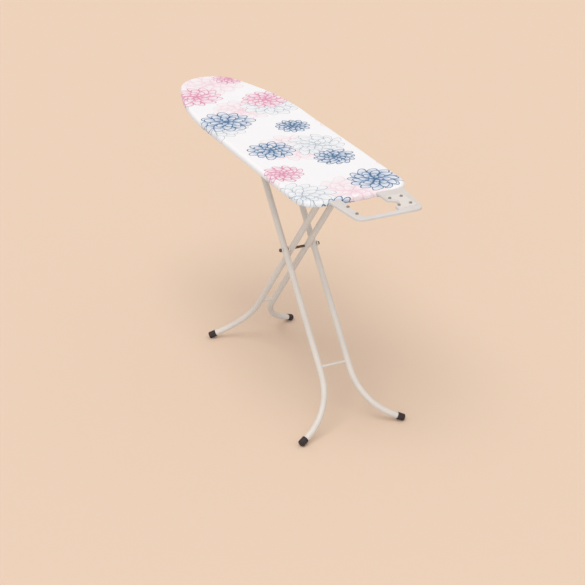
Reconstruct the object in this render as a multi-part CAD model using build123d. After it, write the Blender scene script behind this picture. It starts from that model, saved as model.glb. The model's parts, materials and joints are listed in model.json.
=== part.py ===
from build123d import *
import os
from math import asin, ceil, cos, hypot, radians, sin, sqrt, tan

# Folding ironing board: a padded deck on crossed tube legs, with a notched slide rail and an iron rest.
# Millimetres and degrees. +X runs from the nose to the heel, +Y to the far side, +Z up.
# The origin lies on the floor, under the middle of the whole object.

# Board
BOARD_LENGTH = 1140.0
BOARD_WIDTH = 340.0
BOARD_TOP = 772.0
NOSE_LENGTH = 432.0
NOSE_RADIUS = 105.0
HEEL_RADIUS = 64.0
COVER_CLOTH = 1.0
COVER_EDGE_RADIUS = 5.0
HEM_WIDTH = 24.0
ELASTIC_WIDTH = 6.0
ELASTIC_THICKNESS = 1.2
PAD_THICKNESS = 5.0
DECK_SHEET = 1.0
RIM_DEPTH = 9.0
RIM_LIP = 9.0

# Steam vents in the deck
VENT_LENGTH = 40.0
VENT_WIDTH = 14.0
VENT_PITCH_X = 52.0
VENT_PITCH_Y = 23.0
VENT_MARGIN = 16.0
VENT_BAND = 38.0

# Legs
TUBE_DIAMETER = 19.0
TUBE_WALL = 1.2
TUBE_END = 12.0
LEG_TILT = 39.35
HINGE_DROP = 39.0
HINGE_FROM_HEEL = 150.0
INNER_GAP = 33.0
LEG_GAP = 3.0
FOOT_BEND_RADIUS = 200.0
FOOT_BEND_ANGLE = 60.0
FOOT_STUB = 25.0
CROSS_BAR_DIAMETER = 8.0
BEND_PAST_BAR = 20.4
PLUG_DEPTH = 6.0
PLUG_HEAD = 2.0

# Foot caps
CAP_WALL = 1.5
CAP_FLOOR = 6.0
CAP_GRIP = 18.0
CAP_ROUND = 4.5
CAP_LIP_ROUND = 1.0
TREAD_DEPTH = 1.0

# Rods, washers and nuts
ROD_DIAMETER = 8.0
PIVOT_WASHER_DIAMETER = 16.0
PIVOT_WASHER_THICKNESS = 3.4
PIVOT_NUT_DIAMETER = 11.0
PIVOT_NUT_LENGTH = 6.0
PIVOT_NUT_DEPTH = 4.0
PIVOT_NUT_ROUND = 2.0
SLEEVE_DIAMETER = 12.0
PUSH_NUT_DIAMETER = 15.0
PUSH_NUT_THICKNESS = 2.0

# Slide rail and hinge bracket
RAIL_SHEET = 1.5
RAIL_SIDE_GAP = 3.5
RAIL_SKIRT = 4.0
RAIL_END = 14.0
RAIL_SHALLOW = 27.0
FOLDED_TILT = 88.5
NOTCH_COUNT = 4
NOTCH_PITCH = 25.0
NOTCH_DEPTH = 5.0
BRACKET_LENGTH = 64.0
BRACKET_LOBE = 9.0
BRACKET_SIDE_GAP = 0.5

# Release lever
LEVER_SHEET = 3.0
LEVER_TRAVEL = 4.5
LEVER_PIN_DIAMETER = 6.0
LEVER_PIN_PAST_NOTCH = 114.0
LEVER_PIN_DROP = 17.0
LEVER_EYE = 8.0
LEVER_TIP_HEIGHT = 8.0
LEVER_TIP_PAST = 10.0
LEVER_ARM = 54.0
LEVER_ARM_HEIGHT = 12.0
HANDLE_DIAMETER = 6.0
HANDLE_REACH = 138.0
HANDLE_STUB = 8.0
GRIP_DIAMETER = 15.0
GRIP_LENGTH = 76.0
GRIP_ROUND = 5.0
SPRING_WIRE = 1.2
SPRING_DIAMETER = 8.4
SPRING_TURNS = 4
SPRING_ARM = 26.0
SPRING_SEAT = 11.0
SPRING_SEAT_SHEET = 1.5

# Iron rest
REST_REACH = 151.0
REST_BELOW_TOP = 1.0
REST_SHEET = 1.2
REST_FLANGE = 7.0
REST_NEAR_SIDE = 96.0
REST_FAR_SIDE = 137.0
REST_NEAR_TAPER = 13.0
REST_FAR_TAPER = 17.0
REST_NEAR_LIMB = 36.0
REST_FAR_LIMB = 84.0
REST_FRONT_BAR = 17.0
REST_CORNER = 26.0
REST_INNER_CORNER = 10.0
REST_EDGE_ROUND = 2.0
SCALLOP_RADIUS = 20.0
SCALLOP_FROM_HEEL = 85.0
SCALLOP_ROUND = 4.0
PANEL_LENGTH = 86.0
PANEL_WIDTH = 54.0
PANEL_SHEET = 2.0
PANEL_INSET = 3.0
PANEL_CORNER = 9.0
STUD_DIAMETER = 9.0
STUD_HEIGHT = 4.0
STUD_ROUND = 2.8
STUD_SHANK = 4.0
STUD_SPACING_X = 52.0
STUD_SPACING_Y = 36.0
STUD_FROM_EDGE = 6.5
ARM_SHEET = 2.0
ARM_WIDTH = 22.0
ARM_LENGTH = 100.0
ARM_JOGGLE_AT = 34.0
ARM_JOGGLE_RUN = 14.0

# Small fasteners
RIVET_SHANK = 4.0
RIVET_HEAD = 7.0
RIVET_HEAD_HEIGHT = 1.8
RIVET_HEAD_ROUND = 1.1
RIVET_SPREAD = 14.0
RIVET_FROM_END = 12.0
RIVET_PAST_PIN = 24.0
SCREW_PITCH = 24.0
TAB_RIVET_SPREAD = 11.0

# Clearances
CLOTH_CLEARANCE = 0.3
HEM_CLEARANCE = 0.2
FIXED_FIT = 0.03
RUNNING_FIT = 0.05
CAP_FIT = 0.1
WELD_GAP = 0.05
SEAT_GAP = 0.1
SIDE_CLEARANCE = 0.3
FOLD_CLEARANCE = 1.0
SLOT_CLEARANCE = 0.35
RELEASE_CLEARANCE = 0.5
REST_CLEARANCE = 0.6
ARM_CLEARANCE = 0.3
CUT_OVERRUN = 5.0

# Places along the board
OBJECT_LENGTH = BOARD_LENGTH + REST_REACH
X_NOSE = -OBJECT_LENGTH / 2
X_HEEL = X_NOSE + BOARD_LENGTH
X_FRONT = OBJECT_LENGTH / 2
X_SHOULDER = X_NOSE + NOSE_LENGTH
X_TIP_CENTRE = X_NOSE + NOSE_RADIUS
HALF_WIDTH = BOARD_WIDTH / 2

# The flank of the nose is one arc, tangent to the straight side and to the tip's arc
FLANK_RISE = NOSE_LENGTH**2 - 2 * NOSE_LENGTH * NOSE_RADIUS + HALF_WIDTH**2
FLANK_RADIUS = FLANK_RISE / (BOARD_WIDTH - 2 * NOSE_RADIUS)
FLANK_CENTRE_Y = HALF_WIDTH - FLANK_RADIUS
FLANK_SPAN = hypot(X_TIP_CENTRE - X_SHOULDER, FLANK_CENTRE_Y)
FLANK_UNIT = ((X_TIP_CENTRE - X_SHOULDER) / FLANK_SPAN, -FLANK_CENTRE_Y / FLANK_SPAN)
X_FLANK_START = X_TIP_CENTRE + NOSE_RADIUS * FLANK_UNIT[0]

# Levels of the board's layers
Z_PAD_TOP = BOARD_TOP - COVER_CLOTH
Z_DECK = Z_PAD_TOP - PAD_THICKNESS
Z_DECK_UNDER = Z_DECK - DECK_SHEET
Z_RIM = Z_DECK - RIM_DEPTH
Z_HEM = Z_RIM - HEM_CLEARANCE - COVER_CLOTH
DECK_INSET = COVER_CLOTH + CLOTH_CLEARANCE

# Feet: how high the centre of a cap's rounded end lies when it treads on the floor
TILT = radians(LEG_TILT)
BEND = radians(FOOT_BEND_ANGLE)
TUBE_RADIUS = TUBE_DIAMETER / 2
ROD_RADIUS = ROD_DIAMETER / 2
CAP_RADIUS = TUBE_RADIUS + CAP_WALL
CAP_DIP = asin(cos(TILT) * cos(BEND))
CAP_LOWEST = (CAP_RADIUS - CAP_ROUND) * cos(CAP_DIP) + CAP_ROUND - TREAD_DEPTH
CAP_REACH = FOOT_STUB + CAP_FLOOR - CAP_ROUND
FOOT_DROP = FOOT_BEND_RADIUS * sin(BEND) + CAP_REACH * cos(BEND)

# Leg linkage: equal arms above the crossing keep the slide rod at the hinge's level.
# Folded, each pair's bar lies just past the other pair's ends, and the foot bends start below the bar.
X_HINGE = X_HEEL - HINGE_FROM_HEEL
Z_HINGE = BOARD_TOP - HINGE_DROP
CROSS_BAR_PAST_ARM = TUBE_END + PLUG_HEAD + FOLD_CLEARANCE + CROSS_BAR_DIAMETER / 2
STRAIGHT_PAST_ARM = CROSS_BAR_PAST_ARM + BEND_PAST_BAR
LEG_SPAN = (Z_HINGE - CAP_LOWEST) / cos(TILT)
UPPER_ARM = (LEG_SPAN - FOOT_DROP - STRAIGHT_PAST_ARM) / 2
LOWER_STRAIGHT = UPPER_ARM + STRAIGHT_PAST_ARM
CROSS_BAR_AT = UPPER_ARM + CROSS_BAR_PAST_ARM
X_PIVOT = X_HINGE - UPPER_ARM * sin(TILT)
Z_PIVOT = Z_HINGE - UPPER_ARM * cos(TILT)
X_SLIDE = X_PIVOT - UPPER_ARM * sin(TILT)
X_SLIDE_FOLDED = X_HINGE - 2 * UPPER_ARM * sin(radians(FOLDED_TILT))
Y_INNER = INNER_GAP / 2 + TUBE_RADIUS
Y_OUTER = Y_INNER + TUBE_DIAMETER + LEG_GAP

# Rail, lever and rest
RAIL_HALF = INNER_GAP / 2 - RAIL_SIDE_GAP
Z_WEB_UNDER = Z_DECK_UNDER - RAIL_SHEET
SLOT_HALF = ROD_RADIUS + SLOT_CLEARANCE
X_RAIL_NOSE = X_SLIDE_FOLDED - RAIL_END
X_LEVER_PIN = X_SLIDE + LEVER_PIN_PAST_NOTCH
Z_LEVER_PIN = Z_DECK_UNDER - LEVER_PIN_DROP
X_RAIL_HEEL = X_LEVER_PIN + SPRING_ARM + SPRING_SEAT
X_HANDLE = X_LEVER_PIN + LEVER_ARM
Z_REST = BOARD_TOP - REST_BELOW_TOP
X_REST_ROOT = X_HEEL + REST_CLEARANCE
Z_ARM_RUN = Z_HEM - ARM_CLEARANCE
Z_ARM_TAB = Z_REST - REST_SHEET - ARM_CLEARANCE
Y_NEAR_EDGE = -REST_NEAR_SIDE + REST_NEAR_LIMB
Y_FAR_EDGE = REST_FAR_SIDE - REST_FAR_LIMB
X_SCALLOP = X_HEEL + SCALLOP_FROM_HEEL
HEEL_STRAIGHT = HALF_WIDTH - HEEL_RADIUS
Y_EAR_NEAR = -min(REST_NEAR_SIDE, HEEL_STRAIGHT)
Y_EAR_FAR = min(REST_FAR_SIDE, HEEL_STRAIGHT)
Y_ARM_NEAR = (Y_EAR_NEAR + Y_NEAR_EDGE) / 2
Y_ARM_FAR = (Y_FAR_EDGE + Y_EAR_FAR) / 2

NEAR_AND_FAR = (-1, 1)
DIAGONAL = sqrt(0.5)


def board_face(inset):
    """Plan of the board drawn in by inset: a nose of tangent arcs, straight sides and a rounded heel."""
    tip_radius = NOSE_RADIUS - inset
    flank_radius = FLANK_RADIUS - inset
    heel_radius = HEEL_RADIUS - inset
    side = HALF_WIDTH - inset
    corner = (X_HEEL - HEEL_RADIUS, HEEL_STRAIGHT)
    half_turn = hypot(FLANK_UNIT[0], FLANK_UNIT[1] + 1)
    flank_mid = (FLANK_UNIT[0] / half_turn, (FLANK_UNIT[1] + 1) / half_turn)

    def tip_end(sign):
        return (X_TIP_CENTRE + tip_radius * FLANK_UNIT[0], sign * tip_radius * FLANK_UNIT[1])

    edges = [ThreePointArc(tip_end(-1), (X_NOSE + inset, 0), tip_end(1))]
    for sign in NEAR_AND_FAR:
        shoulder = (X_SHOULDER, sign * side)
        flank_y = sign * (FLANK_CENTRE_Y + flank_radius * flank_mid[1])
        on_flank = (X_SHOULDER + flank_radius * flank_mid[0], flank_y)
        corner_start = (corner[0], sign * side)
        on_corner = (corner[0] + heel_radius * DIAGONAL, sign * (corner[1] + heel_radius * DIAGONAL))
        corner_end = (X_HEEL - inset, sign * corner[1])
        edges.append(ThreePointArc(tip_end(sign), on_flank, shoulder))
        edges.append(Line(shoulder, corner_start))
        edges.append(ThreePointArc(corner_start, on_corner, corner_end))
    edges.append(Line((X_HEEL - inset, -corner[1]), (X_HEEL - inset, corner[1])))
    return make_face(edges)


def board_slab(inset, low, high):
    """The board's plan, drawn in by inset, between two levels."""
    return extrude(Pos(0, 0, low) * board_face(inset), high - low, dir=(0, 0, 1))


def round_top(solid, radius):
    """Round the edges of the highest flat face."""
    return fillet(solid.faces().sort_by(Axis.Z)[-1].edges(), radius)


def half_width_at(x):
    """Half the board's width at x, on the same arcs as its plan."""
    if x < X_FLANK_START:
        return sqrt(max(NOSE_RADIUS**2 - (x - X_TIP_CENTRE) ** 2, 0))
    if x < X_SHOULDER:
        return FLANK_CENTRE_Y + sqrt(FLANK_RADIUS**2 - (x - X_SHOULDER) ** 2)
    return HALF_WIDTH


def cross_cylinder(x, z, radius, y_low, y_high):
    """Cylinder along Y at x and z, between two values of y."""
    middle = (y_low + y_high) / 2
    return Pos(x, middle, z) * Rot(90, 0, 0) * Cylinder(radius, y_high - y_low)


def cross_ring(x, z, outer, inner, y_low, y_high):
    """Ring along Y at x and z, between two values of y."""
    return cross_cylinder(x, z, outer, y_low, y_high) - cross_cylinder(x, z, inner, y_low, y_high)


def side_plate(face, y_low, y_high):
    """Plate cut from a face drawn in x and z, between two values of y."""
    return extrude(Pos(0, y_low, 0) * (Plane.XZ * face), y_high - y_low, dir=(0, 1, 0))


def mirrored_pair(piece):
    """A piece and its mirror image across the board's middle plane, as one group of solids."""
    return Compound(children=[Compound(piece.solids()), Compound(mirror(piece, Plane.XZ).solids())])


def group(pieces):
    """Separate solids kept together as one node."""
    return Compound([solid for piece in pieces for solid in piece.solids()])


def rivet(grip):
    """Rivet along +Z: a domed head under the sheets at z = 0 and a shank through their thickness."""
    head = Pos(0, 0, -RIVET_HEAD_HEIGHT / 2) * Cylinder(RIVET_HEAD / 2, RIVET_HEAD_HEIGHT)
    head = fillet(head.edges().group_by(Axis.Z)[0], RIVET_HEAD_ROUND)
    return head + Pos(0, 0, grip / 2) * Cylinder(RIVET_SHANK / 2, grip)


def rivet_hole(grip):
    """Hole that a rivet's shank passes through with a fixed fit."""
    return Pos(0, 0, grip / 2) * Cylinder(RIVET_SHANK / 2 + FIXED_FIT, grip + CUT_OVERRUN)


def under_deck(points):
    """Places on the underside of the sheet that is held to the deck from below."""
    return [Pos(x, y, Z_WEB_UNDER) for x, y in points]


def rail_rivet_points():
    """Pairs of rivets in the rail: at its nose end, past the lever's tip and beside the lever's pin."""
    tip = X_SLIDE - NOTCH_PITCH * NOTCH_COUNT
    stations = (X_RAIL_NOSE + RIVET_FROM_END, (X_RAIL_NOSE + tip) / 2, X_LEVER_PIN - RIVET_PAST_PIN)
    return [(x, side * RIVET_SPREAD / 2) for x in stations for side in NEAR_AND_FAR]


def bracket_rivet_points():
    """Four rivets near the corners of the bracket's web."""
    offset = BRACKET_LENGTH / 2 - RIVET_FROM_END
    return [(X_HINGE + end * offset, side * RIVET_SPREAD / 2) for end in (-1, 1) for side in NEAR_AND_FAR]


def arm_screw_points():
    """Two screws in the flat of each strap, under the deck."""
    first = X_HEEL - ARM_LENGTH + RIVET_FROM_END
    return [(x, y) for x in (first, first + SCREW_PITCH) for y in (Y_ARM_NEAR, Y_ARM_FAR)]


def arm_screw_places(points):
    """Seats of the straps' screws, on the underside of the straps' flats."""
    return [Pos(x, y, Z_DECK_UNDER - ARM_SHEET) for x, y in points]


def vent_centres():
    """Staggered places of the vents, clear of the rim, of the leg hardware and of the rest's straps."""
    reach_x = VENT_LENGTH / 2 + VENT_MARGIN
    reach_y = VENT_WIDTH / 2 + VENT_MARGIN
    x_last = X_HEEL - ARM_LENGTH - reach_x
    rows = ceil(HALF_WIDTH / VENT_PITCH_Y)
    columns = ceil(2 * BOARD_LENGTH / VENT_PITCH_X)
    for column in range(columns):
        x = x_last - column * VENT_PITCH_X / 2
        for row in range(-rows, rows + 1):
            y = (row + (column % 2) / 2) * VENT_PITCH_Y
            narrowest = min(half_width_at(x - VENT_LENGTH / 2), half_width_at(x))
            on_board = x - reach_x > X_NOSE and narrowest > abs(y) + reach_y
            over_band = abs(y) < VENT_BAND and x + reach_x > X_RAIL_NOSE
            if on_board and not over_band:
                yield x, y


def deck_panel():
    """Sheet deck with a rim folded down and a lip turned in, steam vents, and holes for its fasteners."""
    deck = board_slab(DECK_INSET, Z_RIM, Z_DECK)
    deck -= board_slab(DECK_INSET + DECK_SHEET, Z_RIM + DECK_SHEET, Z_DECK_UNDER)
    deck -= board_slab(DECK_INSET + RIM_LIP, Z_RIM - CUT_OVERRUN, (Z_RIM + Z_DECK) / 2)
    half_long = VENT_LENGTH / 2
    half_wide = VENT_WIDTH / 2
    vent = Polygon((-half_long, 0), (0, -half_wide), (half_long, 0), (0, half_wide), align=None)
    cutter = extrude(vent, DECK_SHEET + 2 * CUT_OVERRUN)
    cuts = [Pos(x, y, Z_DECK_UNDER - CUT_OVERRUN) * cutter for x, y in vent_centres()]
    held = under_deck(rail_rivet_points() + bracket_rivet_points())
    cuts += [place * rivet_hole(RAIL_SHEET + DECK_SHEET) for place in held]
    cuts += [place * rivet_hole(ARM_SHEET + DECK_SHEET) for place in arm_screw_places(arm_screw_points())]
    return deck - cuts


def felt_pad():
    """Felt pad on the deck, with a rounded upper edge."""
    return round_top(board_slab(DECK_INSET, Z_DECK, Z_PAD_TOP), COVER_EDGE_RADIUS - COVER_CLOTH)


def cover():
    """Cloth over the pad and the rim, with a hem drawn in under the rim."""
    cloth = round_top(board_slab(0, Z_HEM, BOARD_TOP), COVER_EDGE_RADIUS)
    inside = board_slab(COVER_CLOTH, Z_HEM + COVER_CLOTH, Z_PAD_TOP)
    mouth = board_slab(COVER_CLOTH + HEM_WIDTH, Z_HEM - CUT_OVERRUN, (Z_HEM + Z_PAD_TOP) / 2)
    return cloth - round_top(inside, COVER_EDGE_RADIUS - COVER_CLOTH) - mouth


def hem_elastic():
    """Flat elastic that lies on the hem along its inner edge."""
    low = Z_HEM + COVER_CLOTH
    high = low + ELASTIC_THICKNESS
    inner = COVER_CLOTH + HEM_WIDTH
    return board_slab(inner - ELASTIC_WIDTH, low, high) - board_slab(inner, low, high)


def slot_face(x_first, x_last):
    """Long slot at the hinge's level for a rod that runs from x_first to x_last."""
    middle = (x_first + x_last) / 2
    return Pos(middle, Z_HINGE) * SlotCenterToCenter(abs(x_first - x_last), 2 * SLOT_HALF)


def rail_wall_face():
    """Side wall of the rail: deep along the slot, shallow at the lever's pin, with notches over the slot."""
    z_deep = Z_HINGE - SLOT_HALF - RAIL_SKIRT
    z_shallow = Z_DECK_UNDER - RAIL_SHALLOW
    x_step = X_SLIDE + RAIL_END
    step_run = z_shallow - z_deep
    wall = Polygon(
        (X_RAIL_NOSE, Z_DECK_UNDER),
        (X_RAIL_NOSE, z_deep),
        (x_step, z_deep),
        (x_step + step_run, z_shallow),
        (X_RAIL_HEEL, z_shallow),
        (X_RAIL_HEEL, Z_DECK_UNDER),
        align=None,
    )
    wall -= slot_face(X_SLIDE, X_SLIDE_FOLDED)
    for step in range(NOTCH_COUNT):
        notch = Rot(0, 0, 90) * SlotCenterToCenter(NOTCH_DEPTH, 2 * SLOT_HALF)
        wall -= Pos(X_SLIDE - step * NOTCH_PITCH, Z_HINGE + NOTCH_DEPTH / 2) * notch
    return wall - Pos(X_LEVER_PIN, Z_LEVER_PIN) * Circle(LEVER_PIN_DIAMETER / 2 + FIXED_FIT)


def slide_rail():
    """Inverted channel under the deck, slotted for the slide rod and notched for its height settings."""
    length = X_RAIL_HEEL - X_RAIL_NOSE
    middle = (X_RAIL_HEEL + X_RAIL_NOSE) / 2
    rail = Pos(middle, 0, Z_DECK_UNDER - RAIL_SHEET / 2) * Box(length, 2 * RAIL_HALF, RAIL_SHEET)
    rail += side_plate(rail_wall_face(), -RAIL_HALF, RAIL_SHEET - RAIL_HALF)
    rail += side_plate(rail_wall_face(), RAIL_HALF - RAIL_SHEET, RAIL_HALF)
    return rail - [place * rivet_hole(RAIL_SHEET) for place in under_deck(rail_rivet_points())]


def hinge_bracket():
    """Inverted channel under the deck whose two cheeks carry the axle of the inner legs."""
    half = INNER_GAP / 2 - BRACKET_SIDE_GAP
    long_half = BRACKET_LENGTH / 2
    cheek = Polygon(
        (X_HINGE - long_half, Z_DECK_UNDER),
        (X_HINGE - long_half, Z_WEB_UNDER - RAIL_SHEET),
        (X_HINGE - BRACKET_LOBE, Z_HINGE),
        (X_HINGE + BRACKET_LOBE, Z_HINGE),
        (X_HINGE + long_half, Z_WEB_UNDER - RAIL_SHEET),
        (X_HINGE + long_half, Z_DECK_UNDER),
        align=None,
    )
    cheek += Pos(X_HINGE, Z_HINGE) * Circle(BRACKET_LOBE)
    cheek -= Pos(X_HINGE, Z_HINGE) * Circle(ROD_RADIUS + RUNNING_FIT)
    bracket = Pos(X_HINGE, 0, Z_DECK_UNDER - RAIL_SHEET / 2) * Box(BRACKET_LENGTH, 2 * half, RAIL_SHEET)
    bracket += side_plate(cheek, -half, RAIL_SHEET - half)
    bracket += side_plate(cheek, half - RAIL_SHEET, half)
    return bracket - [place * rivet_hole(RAIL_SHEET) for place in under_deck(bracket_rivet_points())]


def deck_rivets(points):
    """Rivets that hold a channel to the deck."""
    return group([place * rivet(RAIL_SHEET + DECK_SHEET) for place in under_deck(points)])


def leg_plane(lean):
    """Plane of a leg pair: x down the legs from the pivot, y across. Lean is +1 for feet on the heel side."""
    down = Vector(lean * sin(TILT), 0, -cos(TILT))
    return Plane(origin=(X_PIVOT, 0, Z_PIVOT), x_dir=down, z_dir=down.cross(Vector(0, 1, 0)))


def foot_end(y, side):
    """Centre of the tube's lower end and its direction, in the leg's own plane."""
    bend_x = LOWER_STRAIGHT + FOOT_BEND_RADIUS * sin(BEND)
    bend_y = y + side * FOOT_BEND_RADIUS * (1 - cos(BEND))
    along = Vector(cos(BEND), side * sin(BEND))
    return Vector(bend_x, bend_y) + along * FOOT_STUB, along


def leg_path(y, side):
    """Centre line of a leg tube in its own plane: straight, then bent outwards, then a straight stub."""
    top = (-UPPER_ARM - TUBE_END, y)
    straight = Line(top, (LOWER_STRAIGHT, y))
    bend = JernArc((LOWER_STRAIGHT, y), (1, 0), FOOT_BEND_RADIUS, side * FOOT_BEND_ANGLE)
    return straight + bend + Line(bend @ 1, foot_end(y, side)[0])


def leg_tube(lean, offset, side):
    """Bent tube with holes for the pivot rod and for the rod at its top end."""
    y = side * offset
    path = leg_plane(lean) * leg_path(y, side)
    start = Plane(origin=path @ 0, z_dir=path % 0)
    tube = sweep(start * Circle(TUBE_RADIUS), path) - sweep(start * Circle(TUBE_RADIUS - TUBE_WALL), path)
    turns_on_pivot = lean > 0
    pivot_fit = RUNNING_FIT if turns_on_pivot else FIXED_FIT
    x_top = X_SLIDE if turns_on_pivot else X_HINGE
    low = y - TUBE_DIAMETER
    high = y + TUBE_DIAMETER
    tube -= cross_cylinder(X_PIVOT, Z_PIVOT, ROD_RADIUS + pivot_fit, low, high)
    return tube - cross_cylinder(x_top, Z_HINGE, ROD_RADIUS + FIXED_FIT, low, high)


def tube_plugs(lean, offset):
    """Plugs in the top ends of a pair of leg tubes: a head on the end and a shank inside."""
    place = leg_plane(lean) * Pos(-UPPER_ARM - TUBE_END, offset, 0) * Rot(0, 90, 0)
    head = Pos(0, 0, -PLUG_HEAD / 2) * Cylinder(TUBE_RADIUS, PLUG_HEAD)
    head = fillet(head.edges().group_by(Axis.Z)[0], PLUG_HEAD / 2)
    shank = Pos(0, 0, PLUG_DEPTH / 2) * Cylinder(TUBE_RADIUS - TUBE_WALL - CAP_FIT, PLUG_DEPTH)
    return mirrored_pair(place * (head + shank))


def foot_cap(lean, offset, side):
    """Rubber cap on a tube's lower end, rounded at its tip and flat where it treads on the floor."""
    centre, along = foot_end(side * offset, side)
    plane = leg_plane(lean)
    outward = plane.from_local_coords(along) - plane.from_local_coords(Vector(0, 0))
    seat = Plane(origin=plane.from_local_coords(centre), z_dir=outward)
    length = CAP_GRIP + CAP_FLOOR
    body = Pos(0, 0, length / 2 - CAP_GRIP) * Cylinder(CAP_RADIUS, length)
    rims = body.edges().filter_by(GeomType.CIRCLE).sort_by(Axis.Z)
    body = fillet(rims[-1], CAP_ROUND)
    body = fillet(body.edges().filter_by(GeomType.CIRCLE).sort_by(Axis.Z)[0], CAP_LIP_ROUND)
    bore = Cylinder(TUBE_RADIUS + CAP_FIT, CAP_GRIP + CUT_OVERRUN)
    body -= Pos(0, 0, -(CAP_GRIP + CUT_OVERRUN) / 2) * bore
    reach = 2 * (CAP_GRIP + CAP_FLOOR + CAP_RADIUS)
    floor = Pos(seat.origin.X, seat.origin.Y, -reach / 2) * Box(reach, reach, reach)
    return seat * body - floor


def cross_bar(lean, offset):
    """Bar between a pair of tubes, its ends shaped to the tubes."""
    plane = leg_plane(lean)
    bar = plane * Pos(CROSS_BAR_AT, 0, 0) * Rot(90, 0, 0) * Cylinder(CROSS_BAR_DIAMETER / 2, 2 * offset)
    for side in NEAR_AND_FAR:
        saddle = Rot(0, 90, 0) * Cylinder(TUBE_RADIUS + WELD_GAP, CROSS_BAR_DIAMETER + 2 * CUT_OVERRUN)
        bar -= plane * Pos(CROSS_BAR_AT, side * offset, 0) * saddle
    return bar


def push_nuts(x, z, outer_face):
    """Thin nuts pushed on a rod's ends against the outer tubes' faces."""
    low = outer_face + SEAT_GAP
    nut = cross_ring(x, z, PUSH_NUT_DIAMETER / 2, ROD_RADIUS + FIXED_FIT, low, low + PUSH_NUT_THICKNESS)
    return mirrored_pair(nut)


def rod(x, z, reach):
    """Plain rod across the board, reaching as far on each side."""
    return cross_cylinder(x, z, ROD_RADIUS, -reach, reach)


def nutted_reach(offset):
    """How far a rod reaches through a tube and its push nut."""
    return offset + TUBE_RADIUS + SEAT_GAP + PUSH_NUT_THICKNESS


def pivot_washer_face():
    """Outer face of the washers on the pivot rod."""
    return Y_OUTER + TUBE_RADIUS + SIDE_CLEARANCE + PIVOT_WASHER_THICKNESS


def pivot_washers():
    """Pale washers outside the outer tubes."""
    face = pivot_washer_face()
    low = face - PIVOT_WASHER_THICKNESS
    washer = cross_ring(X_PIVOT, Z_PIVOT, PIVOT_WASHER_DIAMETER / 2, ROD_RADIUS + FIXED_FIT, low, face)
    return mirrored_pair(washer)


def pivot_spacers():
    """Thin washers between the inner and the outer tubes."""
    low = Y_INNER + TUBE_RADIUS + SEAT_GAP
    high = Y_OUTER - TUBE_RADIUS - SIDE_CLEARANCE
    spacer = cross_ring(X_PIVOT, Z_PIVOT, PIVOT_WASHER_DIAMETER / 2, ROD_RADIUS + FIXED_FIT, low, high)
    return mirrored_pair(spacer)


def pivot_nuts():
    """Dark cap nuts on the pivot rod's ends, with a rounded crown and a blind hole."""
    face = pivot_washer_face()
    nut = cross_cylinder(X_PIVOT, Z_PIVOT, PIVOT_NUT_DIAMETER / 2, face, face + PIVOT_NUT_LENGTH)
    nut = fillet(nut.edges().group_by(Axis.Y)[-1], PIVOT_NUT_ROUND)
    hole_radius = ROD_RADIUS + FIXED_FIT
    hole = cross_cylinder(X_PIVOT, Z_PIVOT, hole_radius, face - CUT_OVERRUN, face + PIVOT_NUT_DEPTH)
    return mirrored_pair(nut - hole)


def slide_sleeves():
    """Nylon sleeves that keep the slide rod centred between the rail and the outer tubes."""
    low = RAIL_HALF + SIDE_CLEARANCE
    high = Y_OUTER - TUBE_RADIUS - SEAT_GAP
    sleeve = cross_ring(X_SLIDE, Z_HINGE, SLEEVE_DIAMETER / 2, ROD_RADIUS + FIXED_FIT, low, high)
    return mirrored_pair(sleeve)


def at_lever_rest(solid):
    """Turn a lever piece, drawn with the grip squeezed, back to where its spring holds it."""
    pin = Axis((X_LEVER_PIN, 0, Z_LEVER_PIN), (0, 1, 0))
    return solid.rotate(pin, LEVER_TRAVEL)


def lever_bar_face():
    """Release bar with the grip squeezed: its tip lies along the rod's top, under all the notches."""
    z_push = Z_HINGE + ROD_RADIUS + RELEASE_CLEARANCE
    x_push = X_SLIDE + ROD_DIAMETER + LEVER_TIP_PAST
    x_tip = X_SLIDE - (NOTCH_COUNT - 1) * NOTCH_PITCH - LEVER_TIP_PAST
    arm_half = LEVER_ARM_HEIGHT / 2
    bar = Polygon(
        (x_tip, z_push),
        (x_push, z_push),
        (X_LEVER_PIN, Z_LEVER_PIN - LEVER_EYE),
        (X_HANDLE + arm_half, Z_LEVER_PIN - arm_half),
        (X_HANDLE + arm_half, Z_LEVER_PIN + arm_half),
        (X_LEVER_PIN, Z_LEVER_PIN + arm_half),
        (x_tip, z_push + LEVER_TIP_HEIGHT),
        align=None,
    )
    bar += Pos(X_LEVER_PIN, Z_LEVER_PIN) * Circle(LEVER_EYE)
    bar -= Pos(X_LEVER_PIN, Z_LEVER_PIN) * Circle(LEVER_PIN_DIAMETER / 2 + RUNNING_FIT)
    return bar - Pos(X_HANDLE, Z_LEVER_PIN) * Circle(HANDLE_DIAMETER / 2 + FIXED_FIT)


def release_bar():
    """Sheet lever in the rail, with a tab for its spring to stand on."""
    bar = side_plate(lever_bar_face(), -LEVER_SHEET / 2, LEVER_SHEET / 2)
    seat_z = Z_LEVER_PIN + LEVER_ARM_HEIGHT / 2 + SPRING_SEAT_SHEET / 2
    bar += Pos(X_LEVER_PIN + SPRING_ARM, 0, seat_z) * Box(SPRING_SEAT, SPRING_SEAT, SPRING_SEAT_SHEET)
    return at_lever_rest(bar)


def release_rod():
    """Wire across the lever's end that carries the grip out towards the board's edge."""
    wire = cross_cylinder(X_HANDLE, Z_LEVER_PIN, HANDLE_DIAMETER / 2, -HANDLE_REACH, HANDLE_STUB)
    return at_lever_rest(wire)


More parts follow.
